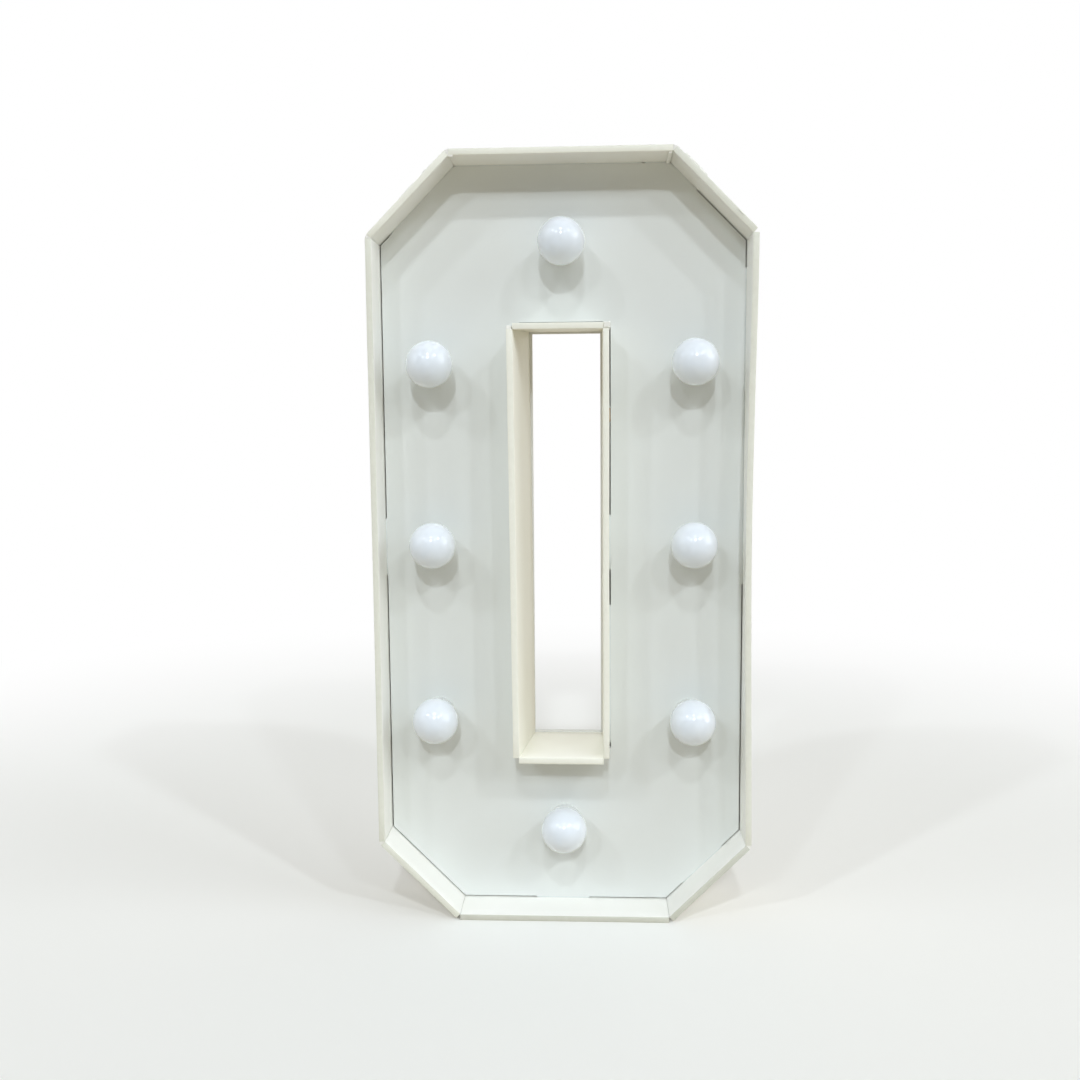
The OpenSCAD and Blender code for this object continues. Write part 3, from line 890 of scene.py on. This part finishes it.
    def build(self) -> None:
        """Builds, dresses and ties every board."""
        f = self.finishes
        # Listed boards get the lighter or the darker edge colour, the rest the sawn one
        edges = dict.fromkeys(self.lighter_edged, f.lighter_edge) | dict.fromkeys(self.darker_edged, f.darker_edged)
        for node, board in self.boards.items():
            obj = self.shape(board)
            place_piece(obj, board.spot(level=board.thick / 2))
            dress(obj, f.slot if node in self.SLOT else f.wall, edges.get(node, f.edge))
            settle(obj, Body.LETTER.value, Slot.WALL, node)


@dataclass(frozen=True)
class Dab:
    """A dab of filler on a board.

    It has its share of the board's length, its middle's distance outside the inner face, its middle's
    depth, and its size along the board, in depth and across the board.
    """

    board: str
    share: float
    level: float
    depth: float
    size: tuple[float, float, float]


@dataclass
class JointFiller:
    """Filler in and round the joints, and the seal between the face panel and the boards."""

    sizes: LetterSizes
    finishes: Finishes
    walls: BoardWalls
    filled_corners: tuple[int, ...] = (1, 3, 4, 5, 6)
    dabs: tuple[Dab, ...] = (
        # Pads pressed on the outside of the upper diagonals, behind their front edges
        Dab("upper_left_wall", 0.32, 8.6, -34, (79, 44, 3.6)),
        Dab("upper_right_wall", 0.79, 9.6, -34, (40, 44, 4.4)),
        # A bead down the inside of the upper right joint, and a blob at the front of the upper left one
        Dab("top_wall", 0.012, -1.2, -36, (5.5, 53, 5.5)),
        Dab("top_wall", 0.992, 1.0, -59, (7, 9, 8)),
        # Lumps at the upper corners of the slot
        Dab("slot_right_wall", 1.008, 4.4, -52, (10, 22, 10)),
        Dab("slot_left_wall", -0.004, 4.0, -57, (6, 12, 8)),
    )
    # Shares of each board's length over which its joint with the panel is sealed
    sealed: dict[str, tuple[tuple[float, float], ...]] = field(default_factory=lambda: {
        "lower_right_wall": ((0.23, 0.76),),
        "right_wall": ((0.43, 0.955),),
        "upper_right_wall": ((0.64, 0.985),),
        "top_wall": ((0.005, 0.115), (0.13, 0.995)),
        "upper_left_wall": ((0.01, 0.84),),
        "left_wall": ((0.456, 0.553),),
        "bottom_wall": ((0.36, 0.62),),
        "slot_right_wall": ((0.01, 0.35), (0.437, 0.568)),
    })
    seal_depth: float = 4
    seal_sink: float = 0.1
    seal_pitch: float = 30
    seal_ease: float = 0.2
    # Wedges stay a little inside the boards' outer faces and ends, and their faces are slightly hollow
    wedge_sink: float = 0.4
    wedge_short: float = 0.6
    wedge_fill: float = 0.97
    wedge_cuts: int = 9
    wedge_seed: float = 0.9
    # Length and depth of a ripple, and the level that stays in place
    wedge_ripple: tuple[float, float, float] = (14, 0.6, 1.0)
    # A dab is cut into few lengths or many, on its short and its long sides
    dab_long: float = 30
    dab_cuts: tuple[int, int] = (2, 7)
    dab_rounding: int = 2
    dab_seed: float = 1.7
    # Length of a ripple, its depth as a share of the dab's least size, and the level that stays in place
    outline_ripple: tuple[float, float, float] = (16, 0.24, 0.5)
    surface_ripple: tuple[float, float, float] = (9, 0.25, 0.7)
    smooth_deg: float = 50

    def build_wedges(self) -> None:
        """Builds the wedges that fill the outer corner joints."""
        s = self.sizes
        names = self.walls.OUTLINE
        pieces = []
        for i in self.filled_corners:
            after, before = self.walls.boards[names[i]], self.walls.boards[names[i - 1]]
            level = s.wall - self.wedge_sink
            first, last = before.outward * level, after.outward * level
            rim = (first + last) / 2 * self.wedge_fill
            # The long edges of a block, 1 mm either side of its middle, go to the edges of the joint
            edges = {(-1, -1): Vector((0, 0)), (-1, 1): first, (1, 1): rim, (1, -1): last}
            wedge = block(f"corner_wedge_{i}", (2, s.depth - self.wedge_short, 2))
            with editing(wedge):
                for (x, z), edge in edges.items():
                    goal = after.start + edge
                    nudge(wedge, lambda p: near(p.x, x * MM) and near(p.z, z * MM),
                          (goal.x - x, 0, goal.y - z))
                face_out()
            divide(wedge, Axis.Y, self.wedge_cuts)
            length, depth, still = self.wedge_ripple
            ripple(wedge, length, depth, Way.NORMAL, still, self.wedge_seed * i)
            pieces.append(wedge)
        self.finish("corner_joint_filler", pieces, self.finishes.filler, "corner_filler")

    def build_dabs(self) -> None:
        """Builds the pads, beads and lumps of filler that were left on the boards."""
        few, many = self.dab_cuts
        pieces = []
        for i, dab in enumerate(self.dabs):
            lump = block(f"dab_{i}", dab.size, (0, dab.depth, 0))
            for axis in Axis:
                divide(lump, axis, few if dab.size[axis] < self.dab_long else many)
            modify(lump, "SUBSURF", levels=self.dab_rounding, render_levels=self.dab_rounding)
            seed = self.dab_seed * (i + 1)
            # The outline wanders first, then the surface
            length, share, level = self.outline_ripple
            for way in (Way.X, Way.Y):
                ripple(lump, length, share * min(dab.size[:2]), way, level, seed)
            length, share, level = self.surface_ripple
            ripple(lump, length, share * min(dab.size), Way.NORMAL, level, seed)
            place_piece(lump, self.walls.boards[dab.board].spot(dab.share, dab.level))
            pieces.append(lump)
        self.finish("left_over_filler", pieces, self.finishes.filler)

    def build_seals(self) -> None:
        """Builds the strips of seal in the gap round the panel."""
        s = self.sizes
        pieces = []
        for node, spans in self.sealed.items():
            board = self.walls.boards[node]
            # The slot's boards stand inside the panel's opening, so their seal is on their outer side
            level = board.thick + s.panel_gap if node in self.walls.SLOT else 0.0
            for low, high in spans:
                length = (high - low) * board.length
                strip = block(f"seal_{node}", (length, self.seal_depth, s.panel_gap),
                              (0, s.panel_face + self.seal_depth / 2 + self.seal_sink, s.panel_gap / 2))
                divide(strip, Axis.X, max(1, round(length / self.seal_pitch)))
                soften(strip, self.seal_ease, 1)
                place_piece(strip, board.spot((low + high) / 2, level))
                pieces.append(strip)
        self.finish("panel_joint_seal", pieces, self.finishes.seal)

    def finish(self, name: str, pieces: Sequence[bpy.types.Object], material: bpy.types.Material,
               *nodes: str) -> None:
        """Joins, smooths, dresses and ties pieces of filler.

        Args:
            name: Name of the joined piece.
            pieces: The pieces in their places.
            material: Their material.
            nodes: CAD nodes that the joined piece replaces.
        """
        whole = join(name, pieces)
        smooth(whole, self.smooth_deg)
        dress(whole, material)
        settle(whole, Body.LETTER.value, Slot.FILLER, *nodes)

    def build(self) -> None:
        """Builds all the filler and seal."""
        self.build_wedges()
        self.build_dabs()
        self.build_seals()


@dataclass
class GlobeLamps:
    """The screw-in globe lamps: an opal globe on a moulded base."""

    finishes: Finishes
    panel_face: float
    column: float = 170
    pitch: float = 234
    middle: float = 502
    top: float = 888
    bottom: float = 120
    globe_r: float = 30
    mouth_r: float = 23
    seat: float = 4.3
    # The globe's rim is turned in this far, and to this share of its radius, where it was welded on
    rim_step: float = 0.05
    rim_share: float = 0.985
    globe_sides: int = 72
    globe_rings: int = 48
    globe_smooth_deg: float = 50
    base_smooth_deg: float = 30
    # Radius and height above the seat, with a groove above the neck and one below the globe
    base_profile: tuple[tuple[float, float], ...] = (
        (13.2, 0.0), (14.5, 0.4), (14.5, 2.6), (14.2, 2.8), (14.2, 3.3),
        (14.6, 3.6), (15.1, 6.5), (16.1, 9.2), (17.6, 11.6), (19.6, 13.6),
        (21.6, 15.0), (22.6, 15.6), (22.3, 15.9), (22.3, 16.2), (22.6, 16.5),
    )

    @property
    def places(self) -> list[tuple[float, float]]:
        """Works out where the lamps are.

        Returns:
            Places across and up, clockwise from the top as seen from the front.
        """
        rows = [self.middle + r * self.pitch for r in (1, 0, -1)]
        right = [(self.column, z) for z in rows]
        left = [(-self.column, z) for z in reversed(rows)]
        return [(0, self.top), *right, (0, self.bottom), *left]

    def globe(self) -> bpy.types.Object:
        """Models one globe about its lamp's axis.

        Returns:
            The globe, with z to the front from the panel's face.
        """
        drop = math.sqrt(self.globe_r ** 2 - self.mouth_r ** 2)
        level = self.seat + self.base_profile[-1][1] + drop
        bpy.ops.mesh.primitive_uv_sphere_add(segments=self.globe_sides, ring_count=self.globe_rings,
                                             radius=self.globe_r * MM)
        obj = fresh("globe")
        with editing(obj):
            choose(obj, Element.FACE, lambda face: True)
            bpy.ops.mesh.bisect(plane_co=(0, 0, -drop * MM), plane_no=(0, 0, 1), clear_inner=True)
            # The turned-in rim is closed, so that light stays in the milky inside
            choose(obj, Element.EDGE, lambda edge: edge.is_boundary)
            draw_out(-self.rim_step)
            bpy.ops.transform.resize(value=(self.rim_share, self.rim_share, 1))
            bpy.ops.mesh.edge_face_add()
            face_out()
        smooth(obj, self.globe_smooth_deg)
        obj.data.transform(Matrix.Translation((0, 0, level * MM)))
        return obj

    def base(self) -> bpy.types.Object:
        """Models one lamp base about its lamp's axis.

        Returns:
            The base, with z to the front from the panel's face.
        """
        obj = turned("base", [(r, self.seat + z) for r, z in self.base_profile])
        smooth(obj, self.base_smooth_deg)
        return obj

    def build(self) -> None:
        """Builds a globe and a base at every lamp's place."""
        patterns = (("globe", "opal_globe", self.globe(), self.finishes.globe, Slot.GLOBE),
                    ("base", "moulded_base", self.base(), self.finishes.base, Slot.BASE))
        forward = Matrix.Rotation(math.pi / 2, 4, "X")
        for k, (x, z) in enumerate(self.places, start=1):
            spot = Matrix.Translation((x * MM, self.panel_face * MM, z * MM)) @ forward
            for node, name, pattern, material, slot in patterns:
                obj = copy_of(pattern, f"lamp_{k}_{name}")
                place_piece(obj, spot)
                dress(obj, material)
                settle(obj, f"lamp_{k}", slot, f"lamp_{k}_{node}")
        for _, _, pattern, _, _ in patterns:
            bpy.data.objects.remove(pattern)


@dataclass
class CoverScrews:
    """The countersunk screws of the back cover, with cross recesses."""

    sizes: LetterSizes
    finishes: Finishes
    head_r: float = 3.5
    shank_r: float = 1.75
    length: float = 18
    # Width and height of the head's broken edge
    head_ease: tuple[float, float] = (0.15, 0.12)
    tip_r: float = 0.2
    recess: tuple[float, float, float] = (3.8, 0.9, 1.7)
    recess_taper: float = 0.55
    sides: int = 40
    smooth_deg: float = 30
    # How far each screw is turned against the one before it
    turn_deg: float = 37
    batten: float = 18
    side_pitch: float = 470
    end_pitch: float = 190
    slot_pitch: float = 340

    @property
    def places(self) -> list[tuple[float, float]]:
        """Works out where the screws are.

        Returns:
            Places across and up: one in the middle of each batten.
        """
        s, half = self.sizes, self.batten / 2
        inner = s.outline(s.wall)
        found = []
        for i, start in enumerate(inner):
            end = inner[(i + 1) % len(inner)]
            run = (end - start).normalized()
            inward = Vector((-run.y, run.x))
            # The corners' boards have one batten, the sides and ends two
            pitch = (0, self.side_pitch, 0, self.end_pitch)[i % 4]
            for side in ((-1, 1) if pitch else (0,)):
                found.append(tuple((start + end) / 2 + run * side * pitch / 2 + inward * half))
        # The leaning boards' outer faces where the battens start, behind the panel
        behind = s.panel_setback + s.panel
        left = s.slot_left + behind * s.lean - s.across_wall(s.lean)
        top = s.slot_high + behind * s.rise + s.across_wall(s.rise)
        x, z = (s.slot_left + s.slot_right) / 2, (s.slot_low + s.slot_high) / 2
        for side in (-1, 1):
            level = z + side * self.slot_pitch / 2
            found += [(left - half, level), (s.slot_right + s.wall + half, level)]
        return found + [(x, s.slot_low - s.wall - half), (x, top + half)]

    def screw(self) -> bpy.types.Object:
        """Models one screw.

        Returns:
            The screw, with its head's face at the origin and z into the letter.
        """
        cone = self.head_r - self.shank_r
        ease, ease_height = self.head_ease
        profile = [(self.head_r - ease, 0), (self.head_r, ease_height), (self.shank_r, cone),
                   (self.shank_r, self.length - 2 * self.shank_r), (self.tip_r, self.length)]
        obj = turned("screw", profile, self.sides)
        length, width, depth = self.recess
        for size in ((length, width, 2 * depth), (width, length, 2 * depth)):
            cutter = block("recess", size)
            with editing(cutter):
                choose(cutter, Element.FACE, lambda face: face.normal.z > ALONG)
                bpy.ops.transform.resize(value=(self.recess_taper, self.recess_taper, 1))
            carve(obj, cutter)
            bpy.data.objects.remove(cutter)
        smooth(obj, self.smooth_deg)
        return obj

    def build(self) -> None:
        """Builds a screw at every place, each turned its own way, and joins them."""
        pattern = self.screw()
        inward = Matrix.Rotation(math.pi / 2, 4, "X")
        pieces = []
        for i, (x, z) in enumerate(self.places):
            piece = copy_of(pattern, f"cover_screw_{i}")
            turn = Matrix.Rotation(math.radians(self.turn_deg * i), 4, "Z")
            spot = Matrix.Translation((x * MM, self.sizes.back * MM, z * MM))
            place_piece(piece, spot @ inward @ turn)
            pieces.append(piece)
        bpy.data.objects.remove(pattern)
        whole = join("cross_recess_screws", pieces)
        dress(whole, self.finishes.zinc)
        settle(whole, Body.LETTER.value, Slot.SCREW, "cover_screws")


@dataclass
class BackFittings:
    """The rocker switch and the mains inlet on the back."""

    sizes: LetterSizes
    finishes: Finishes
    across: float = -100
    switch_z: float = 120
    inlet_z: float = 60
    bezel: tuple[float, float, float] = (15, 21, 2)
    bezel_ease: float = 0.45
    body: tuple[float, float, float] = (13, 19, 16)
    pocket: tuple[float, float, float] = (10.1, 15.9, 5.32)
    rocker: tuple[float, float] = (9.6, 15.4)
    rocker_crown: float = 2.2
    rocker_drop: float = 3
    rocker_tilt_deg: float = 8
    rocker_strips: int = 8
    rocker_layers: int = 5
    rocker_ease: float = 0.35
    pivot_depth: float = 1
    flange: tuple[float, float, float] = (32, 17, 2)
    flange_ease: float = 0.4
    inlet_body: tuple[float, float, float] = (20.6, 12, 13.4)
    end_sides: int = 64
    lobe_d: float = 9.2
    lobe_pitch: float = 8.6
    lobe_sides: int = 48
    waist: float = 7
    socket_depth: float = 12
    # How far the cutters of the socket stand out of the flange
    cutter_reach: float = 1

    def spot(self, z: float) -> Matrix:
        """Gives a frame on the back: x to the right as seen from behind, y up, z out of the back.

        Args:
            z: Height of its origin.

        Returns:
            The frame's matrix, in metres.
        """
        turn = Matrix(((-1, 0, 0), (0, 0, 1), (0, 1, 0))).to_4x4()
        return Matrix.Translation((self.across * MM, self.sizes.back * MM, z * MM)) @ turn

    def build_housing(self) -> None:
        """Builds the switch's bezel and body with the rocker's pocket."""
        bezel_width, bezel_height, bezel_thick = self.bezel
        obj = block("switch_bezel", self.bezel, (0, 0, bezel_thick / 2))
        with editing(obj):
            for side, (width, height, reach) in ((-1, self.body), (1, self.pocket)):
                choose(obj, Element.FACE, lambda face: face.normal.z * side > ALONG)
                # A face set in by 1 mm all round is brought to the body's or the pocket's size
                bpy.ops.mesh.inset(thickness=MM)
                grow = (width / (bezel_width - 2), height / (bezel_height - 2), 1)
                bpy.ops.transform.resize(value=grow)
                draw_out(-reach if side < 0 else -reach - bezel_thick)
        soften(obj, self.bezel_ease)
        smooth(obj)
        place_piece(obj, self.spot(self.switch_z))
        dress(obj, self.finishes.black)
        settle(obj, Body.LETTER.value, Slot.SWITCH, "switch_housing")

    def build_rocker(self) -> None:
        """Builds the rocker: its face slopes to a shallow valley, and its ends bulge about its pivot."""
        width, height = self.rocker
        reach = height / 2
        slope = math.tan(math.radians(self.rocker_tilt_deg))
        thick = self.rocker_crown + self.rocker_drop
        strips, layers = self.rocker_strips, self.rocker_layers
        middle = (self.rocker_crown - self.rocker_drop) / 2
        obj = block("rocker_button", (width, height, thick), (0, 0, middle))
        divide(obj, Axis.Y, strips - 1)
        divide(obj, Axis.Z, layers - 1)
        with editing(obj):
            for i in range(strips + 1):
                y = (i / strips - 0.5) * height
                nudge(obj, lambda p: near(p.y, y * MM) and p.z > self.rocker_crown * MM - NEAR,
                      (0, 0, abs(y) * slope))
            for i in range(layers + 1):
                z = -self.rocker_drop + i * thick / layers
                # The top layer's ends were raised with the face
                rise = z + (reach * slope if i == layers else 0)
                pull = reach - math.sqrt(reach ** 2 - rise ** 2)
                for side in (-1, 1):
                    nudge(obj, lambda p: near(p.y, side * reach * MM) and near(p.z, rise * MM),
                          (0, -side * pull, 0))
        soften(obj, self.rocker_ease)
        smooth(obj)
        pivot = Matrix.Translation((0, 0, -self.pivot_depth * MM))
        tilt = Matrix.Rotation(math.radians(self.rocker_tilt_deg), 4, "X")
        place_piece(obj, self.spot(self.switch_z) @ pivot @ tilt)
        dress(obj, self.finishes.rocker)
        settle(obj, Body.ROCKER.value, Slot.ROCKER, "switch_rocker")

    def stadium(self, name: str, size: Sequence[float], low: float) -> bpy.types.Object:
        """Models a slab with round ends.

        Args:
            name: Name of the piece.
            size: Its length, width and height.
            low: Level of its underside.

        Returns:
            The slab's object.
        """
        length, width, height = size
        obj = turned(name, [(width / 2, low), (width / 2, low + height)], self.end_sides)
        # Vertices in the middle, to within a tenth of what counts as one place, stay there
        with editing(obj):
            for side in (-1, 1):
                nudge(obj, lambda p: p.x * side > NEAR / 10, (side * (length - width) / 2, 0, 0))
        return obj

    def build_inlet(self) -> None:
        """Builds the inlet's flange and body with the two-lobed socket."""
        top = self.flange[2] + self.cutter_reach
        lobe_r = self.lobe_d / 2
        cutters = []
        for side in (-1, 1):
            lobe = turned("lobe", [(lobe_r, -self.socket_depth), (lobe_r, top)], self.lobe_sides)
            place_piece(lobe, Matrix.Translation((side * self.lobe_pitch * MM / 2, 0, 0)))
            cutters.append(lobe)
        high = top + self.socket_depth
        cutters.append(block("waist", (self.lobe_pitch, self.waist, high), (0, 0, top - high / 2)))
        shells = [self.stadium("inlet_flange", self.flange, 0),
                  self.stadium("inlet_body", self.inlet_body, -self.inlet_body[2])]
        for shell in shells:
            for cutter in cutters:
                carve(shell, cutter)
        for cutter in cutters:
            bpy.data.objects.remove(cutter)
        soften(shells[0], self.flange_ease)
        obj = join("inlet_socket", shells)
        smooth(obj)
        place_piece(obj, self.spot(self.inlet_z))
        dress(obj, self.finishes.black)
        settle(obj, Body.LETTER.value, Slot.SWITCH, "inlet_housing")

    def build(self) -> None:
        """Builds the switch and the inlet."""
        self.build_housing()
        self.build_rocker()
        self.build_inlet()


@dataclass
class FrameDress:
    """Dresses the CAD nodes that stay as they are."""

    finishes: Finishes
    lamp_count: int = 8

    def build(self) -> None:
        """Gives every shown CAD node its material."""
        f = self.finishes
        plan = {
            "face_panel": f.panel, "back_cover": f.cover, "battens": f.pine,
            "lamp_holders": f.holder, "holder_rings": f.holder, "holder_clamps": f.holder,
            "holder_shells": f.brass, "supply_cable": f.sheath, "link_wires": f.wire,
            "switch_tabs": f.brass, "inlet_pins": f.nickel,
        }
        for k in range(1, self.lamp_count + 1):
            plan[f"lamp_{k}_cap"] = f.cap
            plan[f"contact_{k}"] = f.brass
        for node, material in plan.items():
            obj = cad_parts[node]
            if not obj.material_slots:
                obj.data.materials.append(material)
            for slot in obj.material_slots:
                slot.material = material
            LOG.info("%s dressed in %s", node, material.name)


# The stage


@dataclass(frozen=True)
class Lamp:
    """A far lamp: how far across and up it stands for each metre ahead, and its share of the light."""

    name: str
    across: float
    up: float
    share: float
    spread_deg: float = 2.8
    tint: str = "#EFF6FF"


@dataclass(frozen=True)
class Glow:
    """A soft light from one side of the surroundings.

    It is at its level in directions whose cosine to its middle is over the full value, and it fades
    to nothing where that cosine is down to the start value.
    """

    toward: tuple[float, float, float]
    level: float
    start: float = -0.2
    full: float = 0.8


@dataclass
class Stage:
    """Floor, lamps, surroundings and camera, in metres and radians where a name says nothing else."""

    lamps: tuple[Lamp, ...] = (
        Lamp("ceiling_near", 0.02, 0.63, 0.18),
        Lamp("ceiling_near_left", -0.45, 0.7, 0.07),
        Lamp("ceiling_near_right", 0.5, 0.8, 0.06),
        Lamp("ceiling_middle", 0.0, 1.22, 0.085),
        Lamp("ceiling_right", 1.0, 1.22, 0.065),
        Lamp("ceiling_left", -1.0, 1.22, 0.055),
        Lamp("window_right", 3.6, 1.6, 0.076, 34),
        Lamp("window_left", -2.8, 1.4, 0.042, 34),
    )
    glows: tuple[Glow, ...] = (
        Glow((0, -0.5, 0.866), 0.27, 0.5, 1.0),
        Glow((0, 1, 0), 0.65),
        Glow((1, 0, 0), 0.26),
    )
    glow_tint: str = "#FFF9F0"
    floor: str = "#F2F2ED"
    floor_bounce: str = "#C6BCA8"
    floor_radius: float = 6
    floor_sides: int = 128
    floor_fade: tuple[float, float] = (0.7, 2.2)
    lamp_distance: float = 3
    focal_px: float = 1083.54
    frame_px: float = 1080
    sensor_mm: float = 36
    eye: tuple[float, float, float] = (0.0395, -1.4436, 0.6592)
    yaw: float = -0.0492
    pitch: float = 0.1068
    roll: float = 0.0077

    def looked_at(self, tree: bpy.types.NodeTree, path: bpy.types.Node) -> bpy.types.NodeSocket:
        """Tells what the camera, metal and clear pieces look at from what only gives light.

        Args:
            tree: Node tree of the floor's material or the world.
            path: Its Light Path node.

        Returns:
            A socket that is 1 for the first and 0 for the second.
        """
        seen = path.outputs["Is Camera Ray"]
        for ray in ("Is Glossy Ray", "Is Transmission Ray"):
            links = {0: seen, 1: path.outputs[ray]}
            seen = add_node(tree, "ShaderNodeMath", {"operation": "MAXIMUM"}, links).outputs["Value"]
        return seen

    def build_floor(self) -> None:
        """Lays a pale painted floor that fades into the white surroundings."""
        bpy.ops.mesh.primitive_circle_add(vertices=self.floor_sides, radius=self.floor_radius,
                                          fill_type="NGON")
        obj = fresh("floor")
        material = bpy.data.materials.new("pale_matt_floor_paint")
        tree = empty_tree(material)
        path = add_node(tree, "ShaderNodeLightPath")
        place = add_node(tree, "ShaderNodeTexCoord").outputs["Object"]
        # Light that bounces off the floor is held back, so that the shadows stay as deep as in a big room
        tints = {"data_type": "RGBA", MIX_A: linear(self.floor_bounce), MIX_B: linear(self.floor)}
        colour = add_node(tree, "ShaderNodeMix", tints, {MIX_SHARE: path.outputs["Is Camera Ray"]})
        paint = add_node(tree, "ShaderNodeBsdfPrincipled", {"Roughness": 0.7, "Specular IOR Level": 0.2},
                         {"Base Color": colour.outputs[MIX_RESULT]})
        reach = add_node(tree, "ShaderNodeVectorMath", {"operation": "LENGTH"}, {0: place})
        near_end, far_end = self.floor_fade
        span = {"interpolation_type": "SMOOTHSTEP", "From Min": near_end, "From Max": far_end}
        fade = add_node(tree, "ShaderNodeMapRange", span, {"Value": reach.outputs["Value"]})
        seen = add_node(tree, "ShaderNodeMath", {"operation": "MULTIPLY"},
                        {0: fade.outputs["Result"], 1: self.looked_at(tree, path)})
        white = add_node(tree, "ShaderNodeEmission", {"Color": (1, 1, 1, 1), "Strength": 1.0})
        mix = add_node(tree, "ShaderNodeMixShader", links={
            0: seen.outputs["Value"], 1: paint.outputs["BSDF"], 2: white.outputs["Emission"]})
        add_node(tree, "ShaderNodeOutputMaterial", links={"Surface": mix.outputs["Shader"]})
        dress(obj, material)

    def build_world(self) -> None:
        """Makes surroundings that look white and give the glows' soft light."""
        world = bpy.data.worlds.new("white_surroundings")
        bpy.context.scene.world = world
        tree = empty_tree(world)
        toward = add_node(tree, "ShaderNodeTexCoord").outputs["Generated"]
        total = None
        for glow in self.glows:
            facing = add_node(tree, "ShaderNodeVectorMath", {"operation": "DOT_PRODUCT", 1: glow.toward},
                              {0: toward})
            span = {"interpolation_type": "SMOOTHSTEP", "From Min": glow.start, "From Max": glow.full,
                    "To Max": glow.level}
            level = add_node(tree, "ShaderNodeMapRange", span, {"Value": facing.outputs["Value"]})
            before = {1: total} if total else {}
            both = add_node(tree, "ShaderNodeMath", {"operation": "ADD", 1: 0.0},
                            {0: level.outputs["Result"]} | before)
            total = both.outputs["Value"]
        soft = add_node(tree, "ShaderNodeBackground", {"Color": linear(self.glow_tint)}, {"Strength": total})
        white = add_node(tree, "ShaderNodeBackground", {"Color": (1, 1, 1, 1), "Strength": 1.0})
        path = add_node(tree, "ShaderNodeLightPath")
        mix = add_node(tree, "ShaderNodeMixShader", links={
            0: self.looked_at(tree, path), 1: soft.outputs["Background"], 2: white.outputs["Background"]})
        add_node(tree, "ShaderNodeOutputWorld", links={"Surface": mix.outputs["Shader"]})

    def build_lamps(self) -> None:
        """Hangs the lamps.

        Shares that add up to 1 would show a face that looks ahead in its own colour. They add up to
        less, because the soft light and what bounces off the floor and the boards give the rest.
        """
        for lamp in self.lamps:
            source = Vector((lamp.across, -1, lamp.up))
            data = bpy.data.lights.new(lamp.name, "SUN")
            data.energy = lamp.share * math.pi * source.length
            data.angle = math.radians(lamp.spread_deg)
            data.color = linear(lamp.tint)[:3]
            obj = bpy.data.objects.new(lamp.name, data)
            bpy.context.scene.collection.objects.link(obj)
            obj.location = source * self.lamp_distance
            obj.rotation_euler = source.to_track_quat("Z", "Y").to_euler()

    def build_camera(self) -> None:
        """Sets the camera where the photograph was taken from."""
        ahead = Vector((math.sin(self.yaw) * math.cos(self.pitch),
                        math.cos(self.yaw) * math.cos(self.pitch), -math.sin(self.pitch)))
        level_right = Vector((math.cos(self.yaw), -math.sin(self.yaw), 0))
        level_down = ahead.cross(level_right)
        right = math.cos(self.roll) * level_right + math.sin(self.roll) * level_down
        down = math.cos(self.roll) * level_down - math.sin(self.roll) * level_right
        data = bpy.data.cameras.new("photo_camera")
        data.sensor_width = self.sensor_mm
        data.lens = self.sensor_mm * self.focal_px / self.frame_px
        camera = bpy.data.objects.new("photo_camera", data)
        bpy.context.scene.collection.objects.link(camera)
        turn = Matrix((right, -down, -ahead)).transposed().to_4x4()
        camera.matrix_world = Matrix.Translation(self.eye) @ turn
        bpy.context.scene.camera = camera

    def build(self) -> None:
        """Builds the whole stage."""
        bpy.context.scene.view_settings.view_transform = "Standard"
        self.build_camera()
        self.build_floor()
        self.build_world()
        self.build_lamps()


def main() -> None:
    """Builds the stage and the letter's pieces in order."""
    logging.basicConfig(level=logging.INFO, format="%(name)s: %(message)s")
    sizes = LetterSizes()
    finishes = Finishes()
    Stage().build()
    walls = BoardWalls(sizes, finishes)
    walls.build()
    JointFiller(sizes, finishes, walls).build()
    GlobeLamps(finishes, sizes.panel_face).build()
    CoverScrews(sizes, finishes).build()
    BackFittings(sizes, finishes).build()
    FrameDress(finishes).build()


if __name__ == "__main__":
    main()
